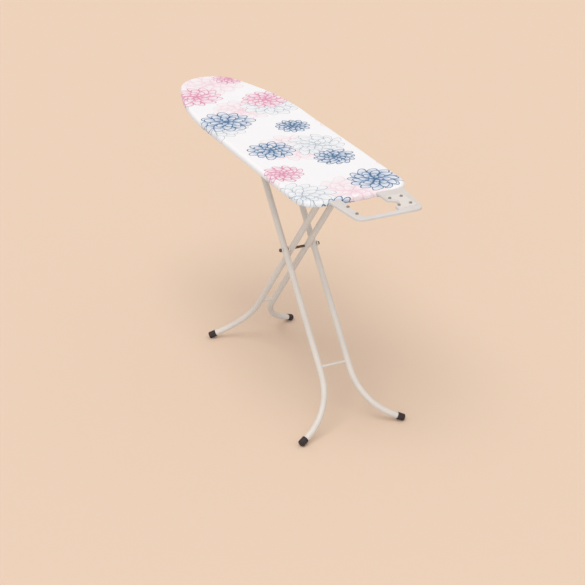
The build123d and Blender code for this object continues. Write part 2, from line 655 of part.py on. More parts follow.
def release_grip():
    """Rounded plastic grip with a blind hole for the wire."""
    wall = (GRIP_DIAMETER - HANDLE_DIAMETER) / 2
    outer_end = -HANDLE_REACH - wall
    inner_end = outer_end + GRIP_LENGTH
    grip = cross_cylinder(X_HANDLE, Z_LEVER_PIN, GRIP_DIAMETER / 2, outer_end, inner_end)
    grip = fillet(grip.edges().filter_by(GeomType.CIRCLE), GRIP_ROUND)
    hole_radius = HANDLE_DIAMETER / 2 + FIXED_FIT
    hole = cross_cylinder(X_HANDLE, Z_LEVER_PIN, hole_radius, -HANDLE_REACH, inner_end + CUT_OVERRUN)
    return at_lever_rest(grip - hole)


def lever_pin():
    """Pin that the release bar turns on, held in the rail's walls."""
    return cross_cylinder(X_LEVER_PIN, Z_LEVER_PIN, LEVER_PIN_DIAMETER / 2, -RAIL_HALF, RAIL_HALF)


def lever_spring():
    """Compression spring between the rail's web and the lever's tab, one wire on quarter-turn arcs."""
    travel = radians(LEVER_TRAVEL)
    seat_height = LEVER_ARM_HEIGHT / 2 + SPRING_SEAT_SHEET
    x_seat = X_LEVER_PIN + SPRING_ARM * cos(travel) + seat_height * sin(travel)
    z_seat = Z_LEVER_PIN - SPRING_ARM * sin(travel) + seat_height * cos(travel)
    tilt_room = SPRING_DIAMETER / 2 * tan(travel)
    low = z_seat + tilt_room + SEAT_GAP + SPRING_WIRE / 2
    high = Z_WEB_UNDER - SEAT_GAP - SPRING_WIRE / 2
    radius = SPRING_DIAMETER / 2
    steps = 4 * SPRING_TURNS
    rise = (high - low) / steps
    slope = rise / (2 * radius)
    level = 1 / hypot(1, slope)
    climb = level * slope
    compass = ((1, 0), (0, 1), (-1, 0), (0, -1))
    places = [compass[n % 4] for n in range(steps + 1)]
    points = [(x_seat + radius * c, radius * s, low + n * rise) for n, (c, s) in enumerate(places)]
    headings = [(-level * s, level * c, climb) for c, s in places]
    turns = [TangentArc(points[n], points[n + 1], tangent=headings[n]) for n in range(steps)]
    path = Wire(turns)
    print("spring: gap between turns", round(4 * rise - SPRING_WIRE, 2), "mm")
    return sweep(Plane(origin=path @ 0, z_dir=path % 0) * Circle(SPRING_WIRE / 2), path)


def rest_plan():
    """Plan of the iron rest: two limbs and a front bar round an opening, their roots cut to the board's heel."""
    x_back = X_HEEL - HEEL_RADIUS
    outline = Polygon(
        (x_back, -REST_NEAR_SIDE),
        (X_REST_ROOT, -REST_NEAR_SIDE),
        (X_FRONT, REST_NEAR_TAPER - REST_NEAR_SIDE),
        (X_FRONT, REST_FAR_SIDE - REST_FAR_TAPER),
        (X_REST_ROOT, REST_FAR_SIDE),
        (x_back, REST_FAR_SIDE),
        align=None,
    )
    outline = fillet(outline.vertices().sort_by(Axis.X)[-2:], REST_CORNER) - board_face(-REST_CLEARANCE)
    x_bar = X_FRONT - REST_FRONT_BAR
    opening = Polygon(
        (X_HEEL - CUT_OVERRUN, Y_NEAR_EDGE),
        (x_bar, Y_NEAR_EDGE),
        (x_bar, Y_FAR_EDGE),
        (X_HEEL - CUT_OVERRUN, Y_FAR_EDGE),
        align=None,
    )
    opening = fillet(opening.vertices().sort_by(Axis.X)[-2:], REST_INNER_CORNER)
    plan = outline - opening - scallop()
    on_edge = [v for v in plan.vertices() if abs(v.Y - Y_FAR_EDGE) < SEAT_GAP]
    cusps = [v for v in on_edge if abs(abs(v.X - X_SCALLOP) - SCALLOP_RADIUS) < SEAT_GAP]
    return fillet(cusps, SCALLOP_ROUND)


def scallop():
    """Round notch in the inner edge of the broad limb and of its panel."""
    return Pos(X_SCALLOP, Y_FAR_EDGE) * Circle(SCALLOP_RADIUS)


def stud_points(near):
    """Places of the studs: two on the narrow limb's inner edge, or four round the scallop."""
    xs = (X_SCALLOP - STUD_SPACING_X / 2, X_SCALLOP + STUD_SPACING_X / 2)
    if near:
        return [(x, Y_NEAR_EDGE - STUD_FROM_EDGE) for x in xs]
    first = Y_FAR_EDGE + PANEL_INSET + STUD_FROM_EDGE
    return [(x, y) for x in xs for y in (first, first + STUD_SPACING_Y)]


def stud(grip):
    """Domed stud on z = 0 with a shank that passes down through what it is fixed to."""
    dome = Pos(0, 0, STUD_HEIGHT / 2) * Cylinder(STUD_DIAMETER / 2, STUD_HEIGHT)
    dome = fillet(dome.edges().group_by(Axis.Z)[-1], STUD_ROUND)
    return dome + Pos(0, 0, -grip / 2) * Cylinder(STUD_SHANK / 2, grip)


def stud_hole(grip):
    """Hole for a stud's shank."""
    return Pos(0, 0, -grip / 2) * Cylinder(STUD_SHANK / 2 + FIXED_FIT, grip + CUT_OVERRUN)


def rest_studs():
    """All the studs of the iron rest."""
    near = [Pos(x, y, Z_REST) * stud(REST_SHEET) for x, y in stud_points(True)]
    far = [Pos(x, y, Z_REST + PANEL_SHEET) * stud(PANEL_SHEET + REST_SHEET) for x, y in stud_points(False)]
    return group(near + far)


def ear_rivet_points():
    """Two rivets across each strap's tab."""
    return [y + side * TAB_RIVET_SPREAD / 2 for y in (Y_ARM_NEAR, Y_ARM_FAR) for side in NEAR_AND_FAR]


def ear_rivet_place(y):
    """Seat of a rivet head on the strap's tab, pointing at the heel."""
    tab_face = X_REST_ROOT + REST_SHEET + ARM_SHEET
    return Pos(tab_face, y, (Z_ARM_RUN + Z_ARM_TAB) / 2) * Rot(0, -90, 0)


def iron_rest():
    """Pressed sheet rest with a flange turned down all round and a deeper ear behind each limb."""
    plan = Pos(0, 0, Z_REST) * rest_plan()
    rest = round_top(extrude(plan, REST_FLANGE, dir=(0, 0, -1)), REST_EDGE_ROUND)
    under = Pos(0, 0, Z_REST - REST_SHEET) * offset(rest_plan(), -REST_SHEET)
    rest -= extrude(under, REST_FLANGE + CUT_OVERRUN, dir=(0, 0, -1))
    ear_top = Z_REST - REST_EDGE_ROUND
    ear_middle = (ear_top + Z_ARM_RUN) / 2
    for low, high in ((Y_EAR_NEAR, Y_NEAR_EDGE), (Y_FAR_EDGE, Y_EAR_FAR)):
        ear = Box(REST_SHEET, high - low - 2 * REST_EDGE_ROUND, ear_top - Z_ARM_RUN)
        rest += Pos(X_REST_ROOT + REST_SHEET / 2, (low + high) / 2, ear_middle) * ear
    studs = stud_points(True) + stud_points(False)
    rest -= [Pos(x, y, Z_REST) * stud_hole(REST_SHEET) for x, y in studs]
    return rest - [ear_rivet_place(y) * rivet_hole(ARM_SHEET + REST_SHEET) for y in ear_rivet_points()]


def rest_panel():
    """Heat-proof plate on the broad limb, with the same scallop and holes for its studs."""
    middle = Y_FAR_EDGE + PANEL_INSET + PANEL_WIDTH / 2
    plate = Pos(X_SCALLOP, middle) * RectangleRounded(PANEL_LENGTH, PANEL_WIDTH, PANEL_CORNER)
    plate -= Pos(X_SCALLOP, Y_FAR_EDGE) * Circle(SCALLOP_RADIUS + PANEL_INSET)
    panel = extrude(Pos(0, 0, Z_REST) * plate, PANEL_SHEET, dir=(0, 0, 1))
    return panel - [Pos(x, y, Z_REST + PANEL_SHEET) * stud_hole(PANEL_SHEET) for x, y in stud_points(False)]


def arm_face():
    """Side view of a strap: a tab behind the rest, a run under the rim, a joggle and a flat on the deck."""
    tab = X_REST_ROOT + REST_SHEET
    run_low = Z_ARM_RUN - ARM_SHEET
    flat = Z_DECK_UNDER - ARM_SHEET
    rise_start = X_HEEL - ARM_JOGGLE_AT
    rise_end = rise_start - ARM_JOGGLE_RUN
    flat_end = X_HEEL - ARM_LENGTH
    return Polygon(
        (tab, Z_ARM_TAB),
        (tab, Z_ARM_RUN),
        (rise_start, Z_ARM_RUN),
        (rise_end, Z_DECK_UNDER),
        (flat_end, Z_DECK_UNDER),
        (flat_end, flat),
        (rise_end - ARM_SHEET / 2, flat),
        (rise_start - ARM_SHEET / 2, run_low),
        (tab + ARM_SHEET, run_low),
        (tab + ARM_SHEET, Z_ARM_TAB),
        align=None,
    )


def rest_arm(y):
    """Steel strap that carries one limb of the rest from the deck's underside."""
    arm = side_plate(arm_face(), y - ARM_WIDTH / 2, y + ARM_WIDTH / 2)
    rivets = [across for across in ear_rivet_points() if abs(across - y) < ARM_WIDTH / 2]
    arm -= [ear_rivet_place(across) * rivet_hole(ARM_SHEET) for across in rivets]
    screws = [point for point in arm_screw_points() if abs(point[1] - y) < ARM_WIDTH / 2]
    return arm - [place * rivet_hole(ARM_SHEET) for place in arm_screw_places(screws)]


def rest_rivets():
    """Rivets through the straps' tabs and the rest's ears."""
    return group([ear_rivet_place(y) * rivet(ARM_SHEET + REST_SHEET) for y in ear_rivet_points()])


def rest_screws():
    """Screws through the straps' flats into the deck."""
    places = arm_screw_places(arm_screw_points())
    return group([place * rivet(ARM_SHEET + DECK_SHEET) for place in places])


def board_nodes():
    """Everything fixed to the board."""
    yield "deck_panel", deck_panel()
    yield "felt_pad", felt_pad()
    yield "cover", cover()
    yield "hem_elastic", hem_elastic()
    yield "slide_rail", slide_rail()
    yield "rail_rivets", deck_rivets(rail_rivet_points())
    yield "hinge_bracket", hinge_bracket()
    yield "bracket_rivets", deck_rivets(bracket_rivet_points())
    yield "lever_pin", lever_pin()
    yield "lever_spring", lever_spring()
    yield "iron_rest", iron_rest()
    yield "rest_panel", rest_panel()
    yield "rest_studs", rest_studs()
    yield "rest_arm_left", rest_arm(Y_ARM_NEAR)
    yield "rest_arm_right", rest_arm(Y_ARM_FAR)
    yield "rest_rivets", rest_rivets()
    yield "rest_screws", rest_screws()


def lever_nodes():
    """The release lever."""
    yield "release_bar", release_bar()
    yield "release_rod", release_rod()
    yield "release_grip", release_grip()


def leg_nodes(name, lean, offset):
    """Tubes, bar, plugs and foot caps of one pair of legs."""
    for word, side in (("left", -1), ("right", 1)):
        yield f"{name}_tube_{word}", leg_tube(lean, offset, side)
        yield f"{name}_foot_{word}", foot_cap(lean, offset, side)
    yield f"{name}_cross_bar", cross_bar(lean, offset)
    yield f"{name}_tube_plugs", tube_plugs(lean, offset)


def inner_leg_nodes():
    """Inner legs, hinged under the heel side, with the pivot rod that they carry."""
    yield from leg_nodes("inner", -1, Y_INNER)
    yield "hinge_axle", rod(X_HINGE, Z_HINGE, nutted_reach(Y_INNER))
    yield "hinge_push_nuts", push_nuts(X_HINGE, Z_HINGE, Y_INNER + TUBE_RADIUS)
    yield "pivot_rod", rod(X_PIVOT, Z_PIVOT, pivot_washer_face() + PIVOT_NUT_DEPTH)
    yield "pivot_washers", pivot_washers()
    yield "pivot_spacers", pivot_spacers()
    yield "pivot_nuts", pivot_nuts()


def outer_leg_nodes():
    """Outer legs, which turn on the pivot rod and slide along the rail at their top."""
    yield from leg_nodes("outer", 1, Y_OUTER)
    yield "slide_rod", rod(X_SLIDE, Z_HINGE, nutted_reach(Y_OUTER))
    yield "slide_sleeves", slide_sleeves()
    yield "slide_push_nuts", push_nuts(X_SLIDE, Z_HINGE, Y_OUTER + TUBE_RADIUS)


def main():
    """Build every node and write it to its own file."""
    os.makedirs("parts", exist_ok=True)
    for nodes in (board_nodes(), lever_nodes(), inner_leg_nodes(), outer_leg_nodes()):
        for name, solid in nodes:
            export_step(solid, f"parts/{name}.step")
    print("hinge", round(X_HINGE, 3), round(Z_HINGE, 3), "pivot", round(X_PIVOT, 3), round(Z_PIVOT, 3))
    print("lever pin", round(X_LEVER_PIN, 3), round(Z_LEVER_PIN, 3), "slide", round(X_SLIDE, 3))


main()
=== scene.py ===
# %% [markdown]
# # A folding ironing board
#
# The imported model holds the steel, the joints and the sizes. This lesson dresses it: a printed cotton
# cover, the felt under it, an elastic hem, a coiled spring, a ribbed grip, weld beads, and a finish for
# every metal, rubber and plastic surface. Lengths are metres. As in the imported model, +X runs from the nose
# to the heel, +Y to the far side and +Z up.

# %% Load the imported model
import json
import math

import bmesh
import bpy
import numpy as np
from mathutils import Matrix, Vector


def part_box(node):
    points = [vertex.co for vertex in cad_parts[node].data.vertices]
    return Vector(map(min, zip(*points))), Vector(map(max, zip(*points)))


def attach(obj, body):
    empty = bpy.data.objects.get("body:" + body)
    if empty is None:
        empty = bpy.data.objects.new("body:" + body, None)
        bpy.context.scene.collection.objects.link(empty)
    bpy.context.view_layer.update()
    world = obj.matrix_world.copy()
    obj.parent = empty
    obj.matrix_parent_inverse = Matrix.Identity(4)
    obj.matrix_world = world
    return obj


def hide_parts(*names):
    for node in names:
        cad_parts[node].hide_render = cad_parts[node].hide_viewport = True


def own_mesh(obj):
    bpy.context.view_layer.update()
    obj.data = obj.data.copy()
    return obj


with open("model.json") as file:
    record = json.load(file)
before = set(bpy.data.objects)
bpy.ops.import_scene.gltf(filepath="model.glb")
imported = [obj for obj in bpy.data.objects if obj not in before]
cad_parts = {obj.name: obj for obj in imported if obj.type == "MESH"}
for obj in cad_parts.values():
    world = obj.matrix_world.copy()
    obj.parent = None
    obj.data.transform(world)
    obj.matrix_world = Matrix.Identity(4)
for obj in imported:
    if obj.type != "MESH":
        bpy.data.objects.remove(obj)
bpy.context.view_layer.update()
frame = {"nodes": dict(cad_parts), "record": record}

nodes = frame["nodes"]

# %% [markdown]
# ## The camera
#
# The camera was matched to the board's outline, the straight leg tubes and the four feet. A long lens far
# away keeps the legs nearly parallel. The small shift moves the picture without turning the camera.

# %% Camera
CAMERA_PLACE = (3.8489, -1.8265, 2.3797)
CAMERA_AHEAD = (-0.8098, 0.3882, -0.4399)
CAMERA_LENS = 92.25
CAMERA_SHIFT = (0.0078, -0.0215)

camera = bpy.data.objects.new("camera", bpy.data.cameras.new("camera"))
bpy.context.scene.collection.objects.link(camera)
camera.location = CAMERA_PLACE
camera.rotation_mode = "QUATERNION"
camera.rotation_quaternion = Vector(CAMERA_AHEAD).to_track_quat("-Z", "Y")
camera.data.lens = CAMERA_LENS
camera.data.shift_x, camera.data.shift_y = CAMERA_SHIFT
bpy.context.scene.camera = camera
print("camera at", CAMERA_PLACE)

# %% [markdown]
# ## Arithmetic with shader nodes
#
# A procedural finish is a formula over the surface. Wiring each sum by hand hides the formula, so this
# small class adds a Math node whenever two fields are added, multiplied or compared. The formula can then
# be read as written.


# %% A field that varies over a surface
def plug(tree, entry, value):
    """Link a field to a node's input, or set a plain number or colour on the input itself."""
    if isinstance(value, Field):
        tree.links.new(value.socket, entry)
    else:
        entry.default_value = value


class Field:
    """A value that varies over a surface: a node's output whose arithmetic adds more nodes."""

    def __init__(self, tree, socket):
        self.tree = tree
        self.socket = socket

    def math(self, operation, *others):
        node = self.tree.nodes.new("ShaderNodeMath")
        node.operation = operation
        for entry, value in zip(node.inputs, (self, *others)):
            plug(self.tree, entry, value)
        return Field(self.tree, node.outputs[0])

    def __add__(self, other):
        return self.math("ADD", other)

    def __sub__(self, other):
        return self.math("SUBTRACT", other)

    def __mul__(self, other):
        return self.math("MULTIPLY", other)

    def __truediv__(self, other):
        return self.math("DIVIDE", other)

    def __pow__(self, other):
        return self.math("POWER", other)

    def __lt__(self, other):
        return self.math("LESS_THAN", other)

    def least(self, other):
        return self.math("MINIMUM", other)

    def most(self, other):
        return self.math("MAXIMUM", other)

    def size(self):
        return self.math("ABSOLUTE")

    def step(self, low, high, first=0.0, last=1.0):
        """First below low, last above high, and a smooth rise between them."""
        node = self.tree.nodes.new("ShaderNodeMapRange")
        node.interpolation_type = "SMOOTHSTEP"
        for entry, value in zip(node.inputs, (self, low, high, first, last)):
            plug(self.tree, entry, value)
        return Field(self.tree, node.outputs[0])


def mix(factor, first, second):
    """A number part of the way from first to second."""
    return first + (second - first) * factor


def colour(red, green, blue):
    """A colour as a screen shows it, 0 to 255, turned into the linear light that shaders use."""
    screen = np.array((red, green, blue)) / 255
    linear = np.where(screen <= 0.04045, screen / 12.92, ((screen + 0.055) / 1.055) ** 2.4)
    return (*linear.tolist(), 1.0)


def mix_colours(tree, factor, first, second):
    """A colour part of the way from first to second."""
    node = tree.nodes.new("ShaderNodeMix")
    node.data_type = "RGBA"
    for entry, value in zip((node.inputs[0], node.inputs[6], node.inputs[7]), (factor, first, second)):
        plug(tree, entry, value)
    return Field(tree, node.outputs[2])


def new_material(name, **sockets):
    """A material with a Principled shader. Values that are the same all over are set on its own sockets."""
    material = bpy.data.materials.new(name)
    material.use_nodes = True
    shader = material.node_tree.nodes["Principled BSDF"]
    for socket, value in sockets.items():
        shader.inputs[socket.replace("_", " ")].default_value = value
    return material, material.node_tree, shader


def object_place(tree):
    """The place on the piece, in metres of the shared frame."""
    return Field(tree, tree.nodes.new("ShaderNodeTexCoord").outputs["Object"])


def stretched(tree, place, scale):
    """A place scaled apart along its three axes."""
    node = tree.nodes.new("ShaderNodeVectorMath")
    node.operation = "MULTIPLY"
    plug(tree, node.inputs[0], place)
    node.inputs[1].default_value = scale
    return Field(tree, node.outputs[0])


def noise(tree, place, grain, detail=3.0, roughness=0.5):
    """Cloudy noise between 0 and 1 whose lumps are about one grain across, in metres."""
    node = tree.nodes.new("ShaderNodeTexNoise")
    plug(tree, node.inputs["Vector"], place)
    node.inputs["Scale"].default_value = 1 / grain
    node.inputs["Detail"].default_value = detail
    node.inputs["Roughness"].default_value = roughness
    return Field(tree, node.outputs[0])


def bump(tree, shader, height, depth, strength=1.0):
    """Dent the shading of a surface by a height field, up to depth metres."""
    node = tree.nodes.new("ShaderNodeBump")
    node.inputs["Strength"].default_value = strength
    node.inputs["Distance"].default_value = depth
    plug(tree, node.inputs["Height"], height)
    tree.links.new(node.outputs[0], shader.inputs["Normal"])


print("shader arithmetic ready")

# %% [markdown]
# ## Surfaces from grids
#
# Each new piece is a function of two parameters, worked out for a whole grid of points at once. One helper
# turns such a grid into a mesh, another joins its edges where the shape closes on itself, and a third
# carries a round section along a path, for wires and beads.


# %% Mesh helpers
def grid_quads(rows, columns, close_rows=False, close_columns=False):
    """Corners of the quads between neighbours of a grid, wrapping round where it is closed."""
    row = np.arange(rows if close_rows else rows - 1)
    column = np.arange(columns if close_columns else columns - 1)
    row, column = (part.ravel() for part in np.meshgrid(row, column, indexing="ij"))
    below, beside = (row + 1) % rows, (column + 1) % columns
    here, under = row * columns, below * columns
    return np.stack([here + column, under + column, under + beside, here + beside], axis=1)


def new_piece(name, points, quads, material, body, chart=None):
    """A smooth mesh piece at the origin that rides on a body. Chart holds flat coordinates for a UV map."""
    mesh = bpy.data.meshes.new(name)
    mesh.from_pydata(points.reshape(-1, 3).tolist(), [], quads.tolist())
    if chart is not None:
        layer = mesh.uv_layers.new(name="flat_cut")
        layer.data.foreach_set("uv", chart.reshape(-1, 2)[quads.ravel()].astype(np.float32).ravel())
    mesh.polygons.foreach_set("use_smooth", np.ones(len(quads), bool))
    mesh.materials.append(material)
    mesh.update()
    piece = bpy.data.objects.new(name, mesh)
    bpy.context.scene.collection.objects.link(piece)
    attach(piece, body)
    print(name, "faces", len(quads))
    return piece


def merge_doubles(piece, distance=1e-6):
    """Join points that lie on each other, as along a middle line, and drop the faces that this closes."""
    work = bmesh.new()
    work.from_mesh(piece.data)
    bmesh.ops.remove_doubles(work, verts=work.verts, dist=distance)
    bmesh.ops.dissolve_degenerate(work, edges=work.edges, dist=distance)
    work.to_mesh(piece.data)
    work.free()
    piece.data.update()


def unit(vectors):
    """Vectors brought to length one."""
    return vectors / np.linalg.norm(vectors, axis=-1, keepdims=True)


def round_section(path, radius, up, sides, closed):
    """Points of a tube, square to its path: path(i) + radius (cos a * side(i) + sin a * rise(i))."""
    if closed:
        along = unit(np.roll(path, -1, axis=0) - np.roll(path, 1, axis=0))
    else:
        along = unit(np.gradient(path, axis=0))
    side = unit(np.cross(along, up))
    rise = np.cross(side, along)
    angle = np.linspace(0, 2 * math.pi, sides, endpoint=False)
    ring = np.cos(angle)[None, :, None] * side[:, None] + np.sin(angle)[None, :, None] * rise[:, None]
    return path[:, None] + ring * np.broadcast_to(radius, len(path))[:, None, None]


print("mesh helpers ready")

# %% [markdown]
# ## The board's edge
#
# Cover, felt and hem all follow the same outline: a round nose tip, one long arc on each flank, straight
# sides and a heel with rounded corners. The arcs are tangent, so the flank's radius follows from the nose's
# length and tip. The outline is written as a function of the length walked along it, which keeps gathers
# and stitches even.

# %% Outline of the board
NOSE_LENGTH = 0.432
NOSE_RADIUS = 0.105
HEEL_RADIUS = 0.064

cover_low, cover_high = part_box("cover")
x_nose, x_heel = cover_low.x, cover_high.x
half_width = cover_high.y
x_tip = x_nose + NOSE_RADIUS
x_shoulder = x_nose + NOSE_LENGTH
x_corner = x_heel - HEEL_RADIUS
y_corner = half_width - HEEL_RADIUS
flank_squares = NOSE_LENGTH**2 - 2 * NOSE_LENGTH * NOSE_RADIUS + half_width**2
flank_radius = flank_squares / (2 * (half_width - NOSE_RADIUS))
y_flank = half_width - flank_radius
flank_angle = math.atan2(-y_flank, x_tip - x_shoulder)
run_lengths = (
    NOSE_RADIUS * (math.pi - flank_angle),
    flank_radius * (flank_angle - math.pi / 2),
    x_corner - x_shoulder,
    HEEL_RADIUS * math.pi / 2,
    y_corner,
)
run_ends = np.cumsum(run_lengths)
half_length = run_ends[-1]


def edge_at(walked):
    """Point and outward direction at a length walked from the nose tip, along the far side first.

    On an arc the point is centre + radius (cos a, sin a), where a falls evenly. On a straight run it moves
    evenly. The near side mirrors the far one.
    """
    walked = np.mod(walked, 2 * half_length)
    near = walked > half_length
    s = np.where(near, 2 * half_length - walked, walked)
    on_run = [s <= end for end in run_ends]
    angle = np.select(
        on_run,
        [
            math.pi - s / NOSE_RADIUS,
            flank_angle - (s - run_ends[0]) / flank_radius,
            math.pi / 2,
            math.pi / 2 - (s - run_ends[2]) / HEEL_RADIUS,
            0.0,
        ],
    )
    out = np.stack([np.cos(angle), np.sin(angle)], axis=-1)
    x = np.select(
        on_run,
        [
            x_tip + NOSE_RADIUS * out[..., 0],
            x_shoulder + flank_radius * out[..., 0],
            x_shoulder + s - run_ends[1],
            x_corner + HEEL_RADIUS * out[..., 0],
            x_heel,
        ],
    )
    y = np.select(
        on_run,
        [
            NOSE_RADIUS * out[..., 1],
            y_flank + flank_radius * out[..., 1],
            half_width,
            y_corner + HEEL_RADIUS * out[..., 1],
            half_length - s,
        ],
    )
    flip = np.where(near, -1.0, 1.0)
    point = np.stack([x, y * flip], axis=-1)
    out[..., 1] *= flip
    return point, out


print("edge length", round(2 * half_length, 3), "m")

# %% [markdown]
# ## Gathers
#
# Elastic shortens the hem, so the spare cloth stands up in small folds. They are strong where the edge is
# curved and at the heel, and weak along the straight sides. The folds are a sine of the walked length whose
# phase wanders, scaled by how strongly the edge is gathered there, so no two folds are alike and every run
# of the script gives the same ones.

# %% Fold function
FOLD_LENGTH = 0.0135
FOLD_WANDER = 1.9
WANDER_LENGTHS = (0.147, 0.0837)
WANDER_SHIFT = 1.3
STRAIGHT_GATHER = 0.28
FLANK_GATHER = 0.45
HEEL_GATHER = 0.60
GATHER_RISE = 0.040
NOSE_SPREAD = 0.050
CORNER_SPREAD = 0.075


def half_walk(walked):
    """Length walked from the nose tip along the nearer way, so that both sides are alike."""
    s = np.mod(walked, 2 * half_length)
    return np.minimum(s, 2 * half_length - s)


def fold_wave(walked):
    """Folds along the edge, -1 to 1: sin(2 pi s / FOLD_LENGTH + wander), with two slow sines as wander."""
    first, second = (2 * math.pi * walked / length for length in WANDER_LENGTHS)
    slow = np.sin(first) + np.sin(second + WANDER_SHIFT)
    return np.sin(2 * math.pi * walked / FOLD_LENGTH + FOLD_WANDER * slow)


def fold_share(walked):
    """How strongly the edge is gathered, from STRAIGHT_GATHER on straight runs to 1 on the tight arcs."""
    s = half_walk(walked)
    nose = 1 / (1 + np.exp((s - run_ends[0] - NOSE_SPREAD) / GATHER_RISE))
    flank = FLANK_GATHER / (1 + np.exp((s - run_ends[1]) / GATHER_RISE))
    corner = np.exp(-(((s - (run_ends[2] + run_ends[3]) / 2) / CORNER_SPREAD) ** 2))
    heel = HEEL_GATHER / (1 + np.exp((run_ends[3] - s) / GATHER_RISE))
    straight = np.full_like(s, STRAIGHT_GATHER)
    return np.clip(np.maximum.reduce([nose, flank, corner, heel, straight]), 0, 1)


print("folds round the edge", int(2 * half_length / FOLD_LENGTH))

# %% [markdown]
# ## The cover's shape
#
# The cover is one piece of cotton, drawn over the felt and the rim, with a casing sewn along its edge for
# the elastic. A cloth simulation would relax the tight edge that a stretched cover has, so the surface is
# worked out directly: the first parameter walks round the edge, the second goes from the board's middle
# line out to the edge, down the rim, in under it and round the elastic. Distance along that second
# parameter is also the distance on the flat cut, so the print and the weave run over the edge as they do on
# real cloth.
#
# The padding makes a soft roll along the rim. The roll hangs a little below the hem round the nose and the
# sides, half as much at the heel between the limbs of the iron rest, and not at all behind the limbs, where
# there is no room.

# %% Cover section
EDGE_RADIUS = 0.0095
FOOT_RADIUS = 0.0090
HEEL_FOOT_RADIUS = 0.0036
ROLL_SAG = 0.0065
ROLL_END = 0.0190
ROLL_FADE = 0.25
HEEL_SHARE = 0.50
LIMB_FADE = 0.018
HEM_INSET = 0.0250
CASING_RADIUS = 0.0011
CASING_BACK = 0.0075
TOP_BAND = 0.030
BAND_STEPS = 9
ARC_STEPS = 11
SIDE_STEPS = 6
UNDER_STEPS = 13
CASING_STEPS = 9
BACK_STEPS = 4

z_top = cover_high.z
z_hem = cover_low.z
rest_window = frame["record"]["physics"]["openings"][0]["box_m"]
y_near_limb, y_far_limb = rest_window[0][1], rest_window[1][1]


def smooth_rise(value, low, high):
    """0 below low, 1 above high, 3t^2 - 2t^3 between them."""
    t = np.clip((value - low) / (high - low), 0, 1)
    return t * t * (3 - 2 * t)


def roll_share(walked):
    """How freely the padded roll hangs below the rim: 1 round the nose and the sides, less at the heel.

    Behind the two limbs of the rest there is no room, so it is 0 there and HEEL_SHARE between them.
    """
    sides = 1 - smooth_rise(half_walk(walked), run_ends[2] - ROLL_FADE, run_ends[3])
    edge = edge_at(walked)[0]
    past_near = smooth_rise(edge[..., 1], y_near_limb, y_near_limb + LIMB_FADE)
    past_far = smooth_rise(edge[..., 1], y_far_limb - LIMB_FADE, y_far_limb)
    return sides + HEEL_SHARE * (edge[..., 0] > x_corner) * past_near * (1 - past_far)


def cover_section(walked):
    """Inset from the edge, height, and distance on the flat cut: a column of points for each walked length.

    Down a column: the top band, a quarter round, the side, the roll's round foot, the way in under the rim
    with a smooth climb to the hem, a half turn round the elastic, and the casing's way back to its seam.
    """
    share = roll_share(walked)
    level = np.zeros_like(share)
    foot = HEEL_FOOT_RADIUS + share * (FOOT_RADIUS - HEEL_FOOT_RADIUS)
    z_foot = z_hem - ROLL_SAG * share
    quarter = np.linspace(0, math.pi / 2, ARC_STEPS)[:, None]
    half_turn = np.linspace(0, math.pi, CASING_STEPS)[:, None]
    band = np.linspace(TOP_BAND, EDGE_RADIUS, BAND_STEPS)[:-1, None] + level
    side = np.linspace(z_top - EDGE_RADIUS + level, z_foot + foot, SIDE_STEPS)[1:-1]
    under = np.linspace(foot, HEM_INSET + level, UNDER_STEPS)[1:-1]
    back = np.linspace(HEM_INSET, HEM_INSET - CASING_BACK, BACK_STEPS)[1:, None] + level
    inset = np.concatenate([
        band,
        EDGE_RADIUS - EDGE_RADIUS * np.sin(quarter) + level,
        np.zeros_like(side),
        foot - foot * np.cos(quarter),
        under,
        HEM_INSET + CASING_RADIUS * np.sin(half_turn) + level,
        back,
    ])
    height = np.concatenate([
        np.full_like(band, z_top),
        z_top - EDGE_RADIUS + EDGE_RADIUS * np.cos(quarter) + level,
        side,
        z_foot + foot - foot * np.sin(quarter),
        z_foot + (z_hem - z_foot) * smooth_rise(under, foot, ROLL_END),
        z_hem + CASING_RADIUS - CASING_RADIUS * np.cos(half_turn) + level,
        np.full_like(back, z_hem + 2 * CASING_RADIUS),
    ])
    steps = np.hypot(np.diff(inset, axis=0), np.diff(height, axis=0))
    flat = np.concatenate([level[None], np.cumsum(steps, axis=0)]) - TOP_BAND
    return inset, height, flat


print("roll of the cover", round((z_top - z_hem + ROLL_SAG) * 1000, 1), "mm high")

# %% [markdown]
# ## The cover's surface
#
# The section now stands square to the edge at every walked length, and straight lines fill the top from the
# edge to the board's middle line. Small unevenness makes it cloth: slow swells of the felt, creases that
# the tension draws in from the edge, puckers low on the side, and folds that lift the hem. All but the
# swells use the same fold function, so a crease on top runs on into a pucker and a fold below it.

# %% Cover surface
EDGE_STEPS = 1080
MIDDLE_STEPS = 20
HEEL_MIDDLE = 0.7
HEM_LIFT = 0.0030
HEM_LIFT_START = 0.010
HEM_REACH = 4 * CASING_RADIUS
SWELL = 0.00022
SWELL_WAVES = ((1.0, 31, 9, 0.0), (1.0, 17, -43, 0.7), (0.7, 59, 37, 2.1))
PUCKER = 0.00065
PUCKER_REACH = 0.007
TENSION = 0.00045
TENSION_REACH = 0.020


def hem_lift(walked, inset):
    """How far the gathered hem stands up above its lowest level, growing towards the elastic."""
    folds = fold_share(walked) * (0.5 + 0.5 * fold_wave(walked))
    return HEM_LIFT * folds * smooth_rise(inset, HEM_LIFT_START, HEM_INSET)


def top_swell(x, y):
    """Slow unevenness of felt under cloth: SWELL times a sum of share * sin(a x + b y + shift)."""
    return SWELL * sum(share * np.sin(a * x + b * y + shift) for share, a, b, shift in SWELL_WAVES)


def middle_point(edge):
    """Where a line from the edge meets the board's middle line: the same x, kept away from nose and heel."""
    x = np.clip(edge[..., 0], x_tip, x_heel - half_width * HEEL_MIDDLE)
    return np.stack([x, np.zeros_like(x)], axis=-1)


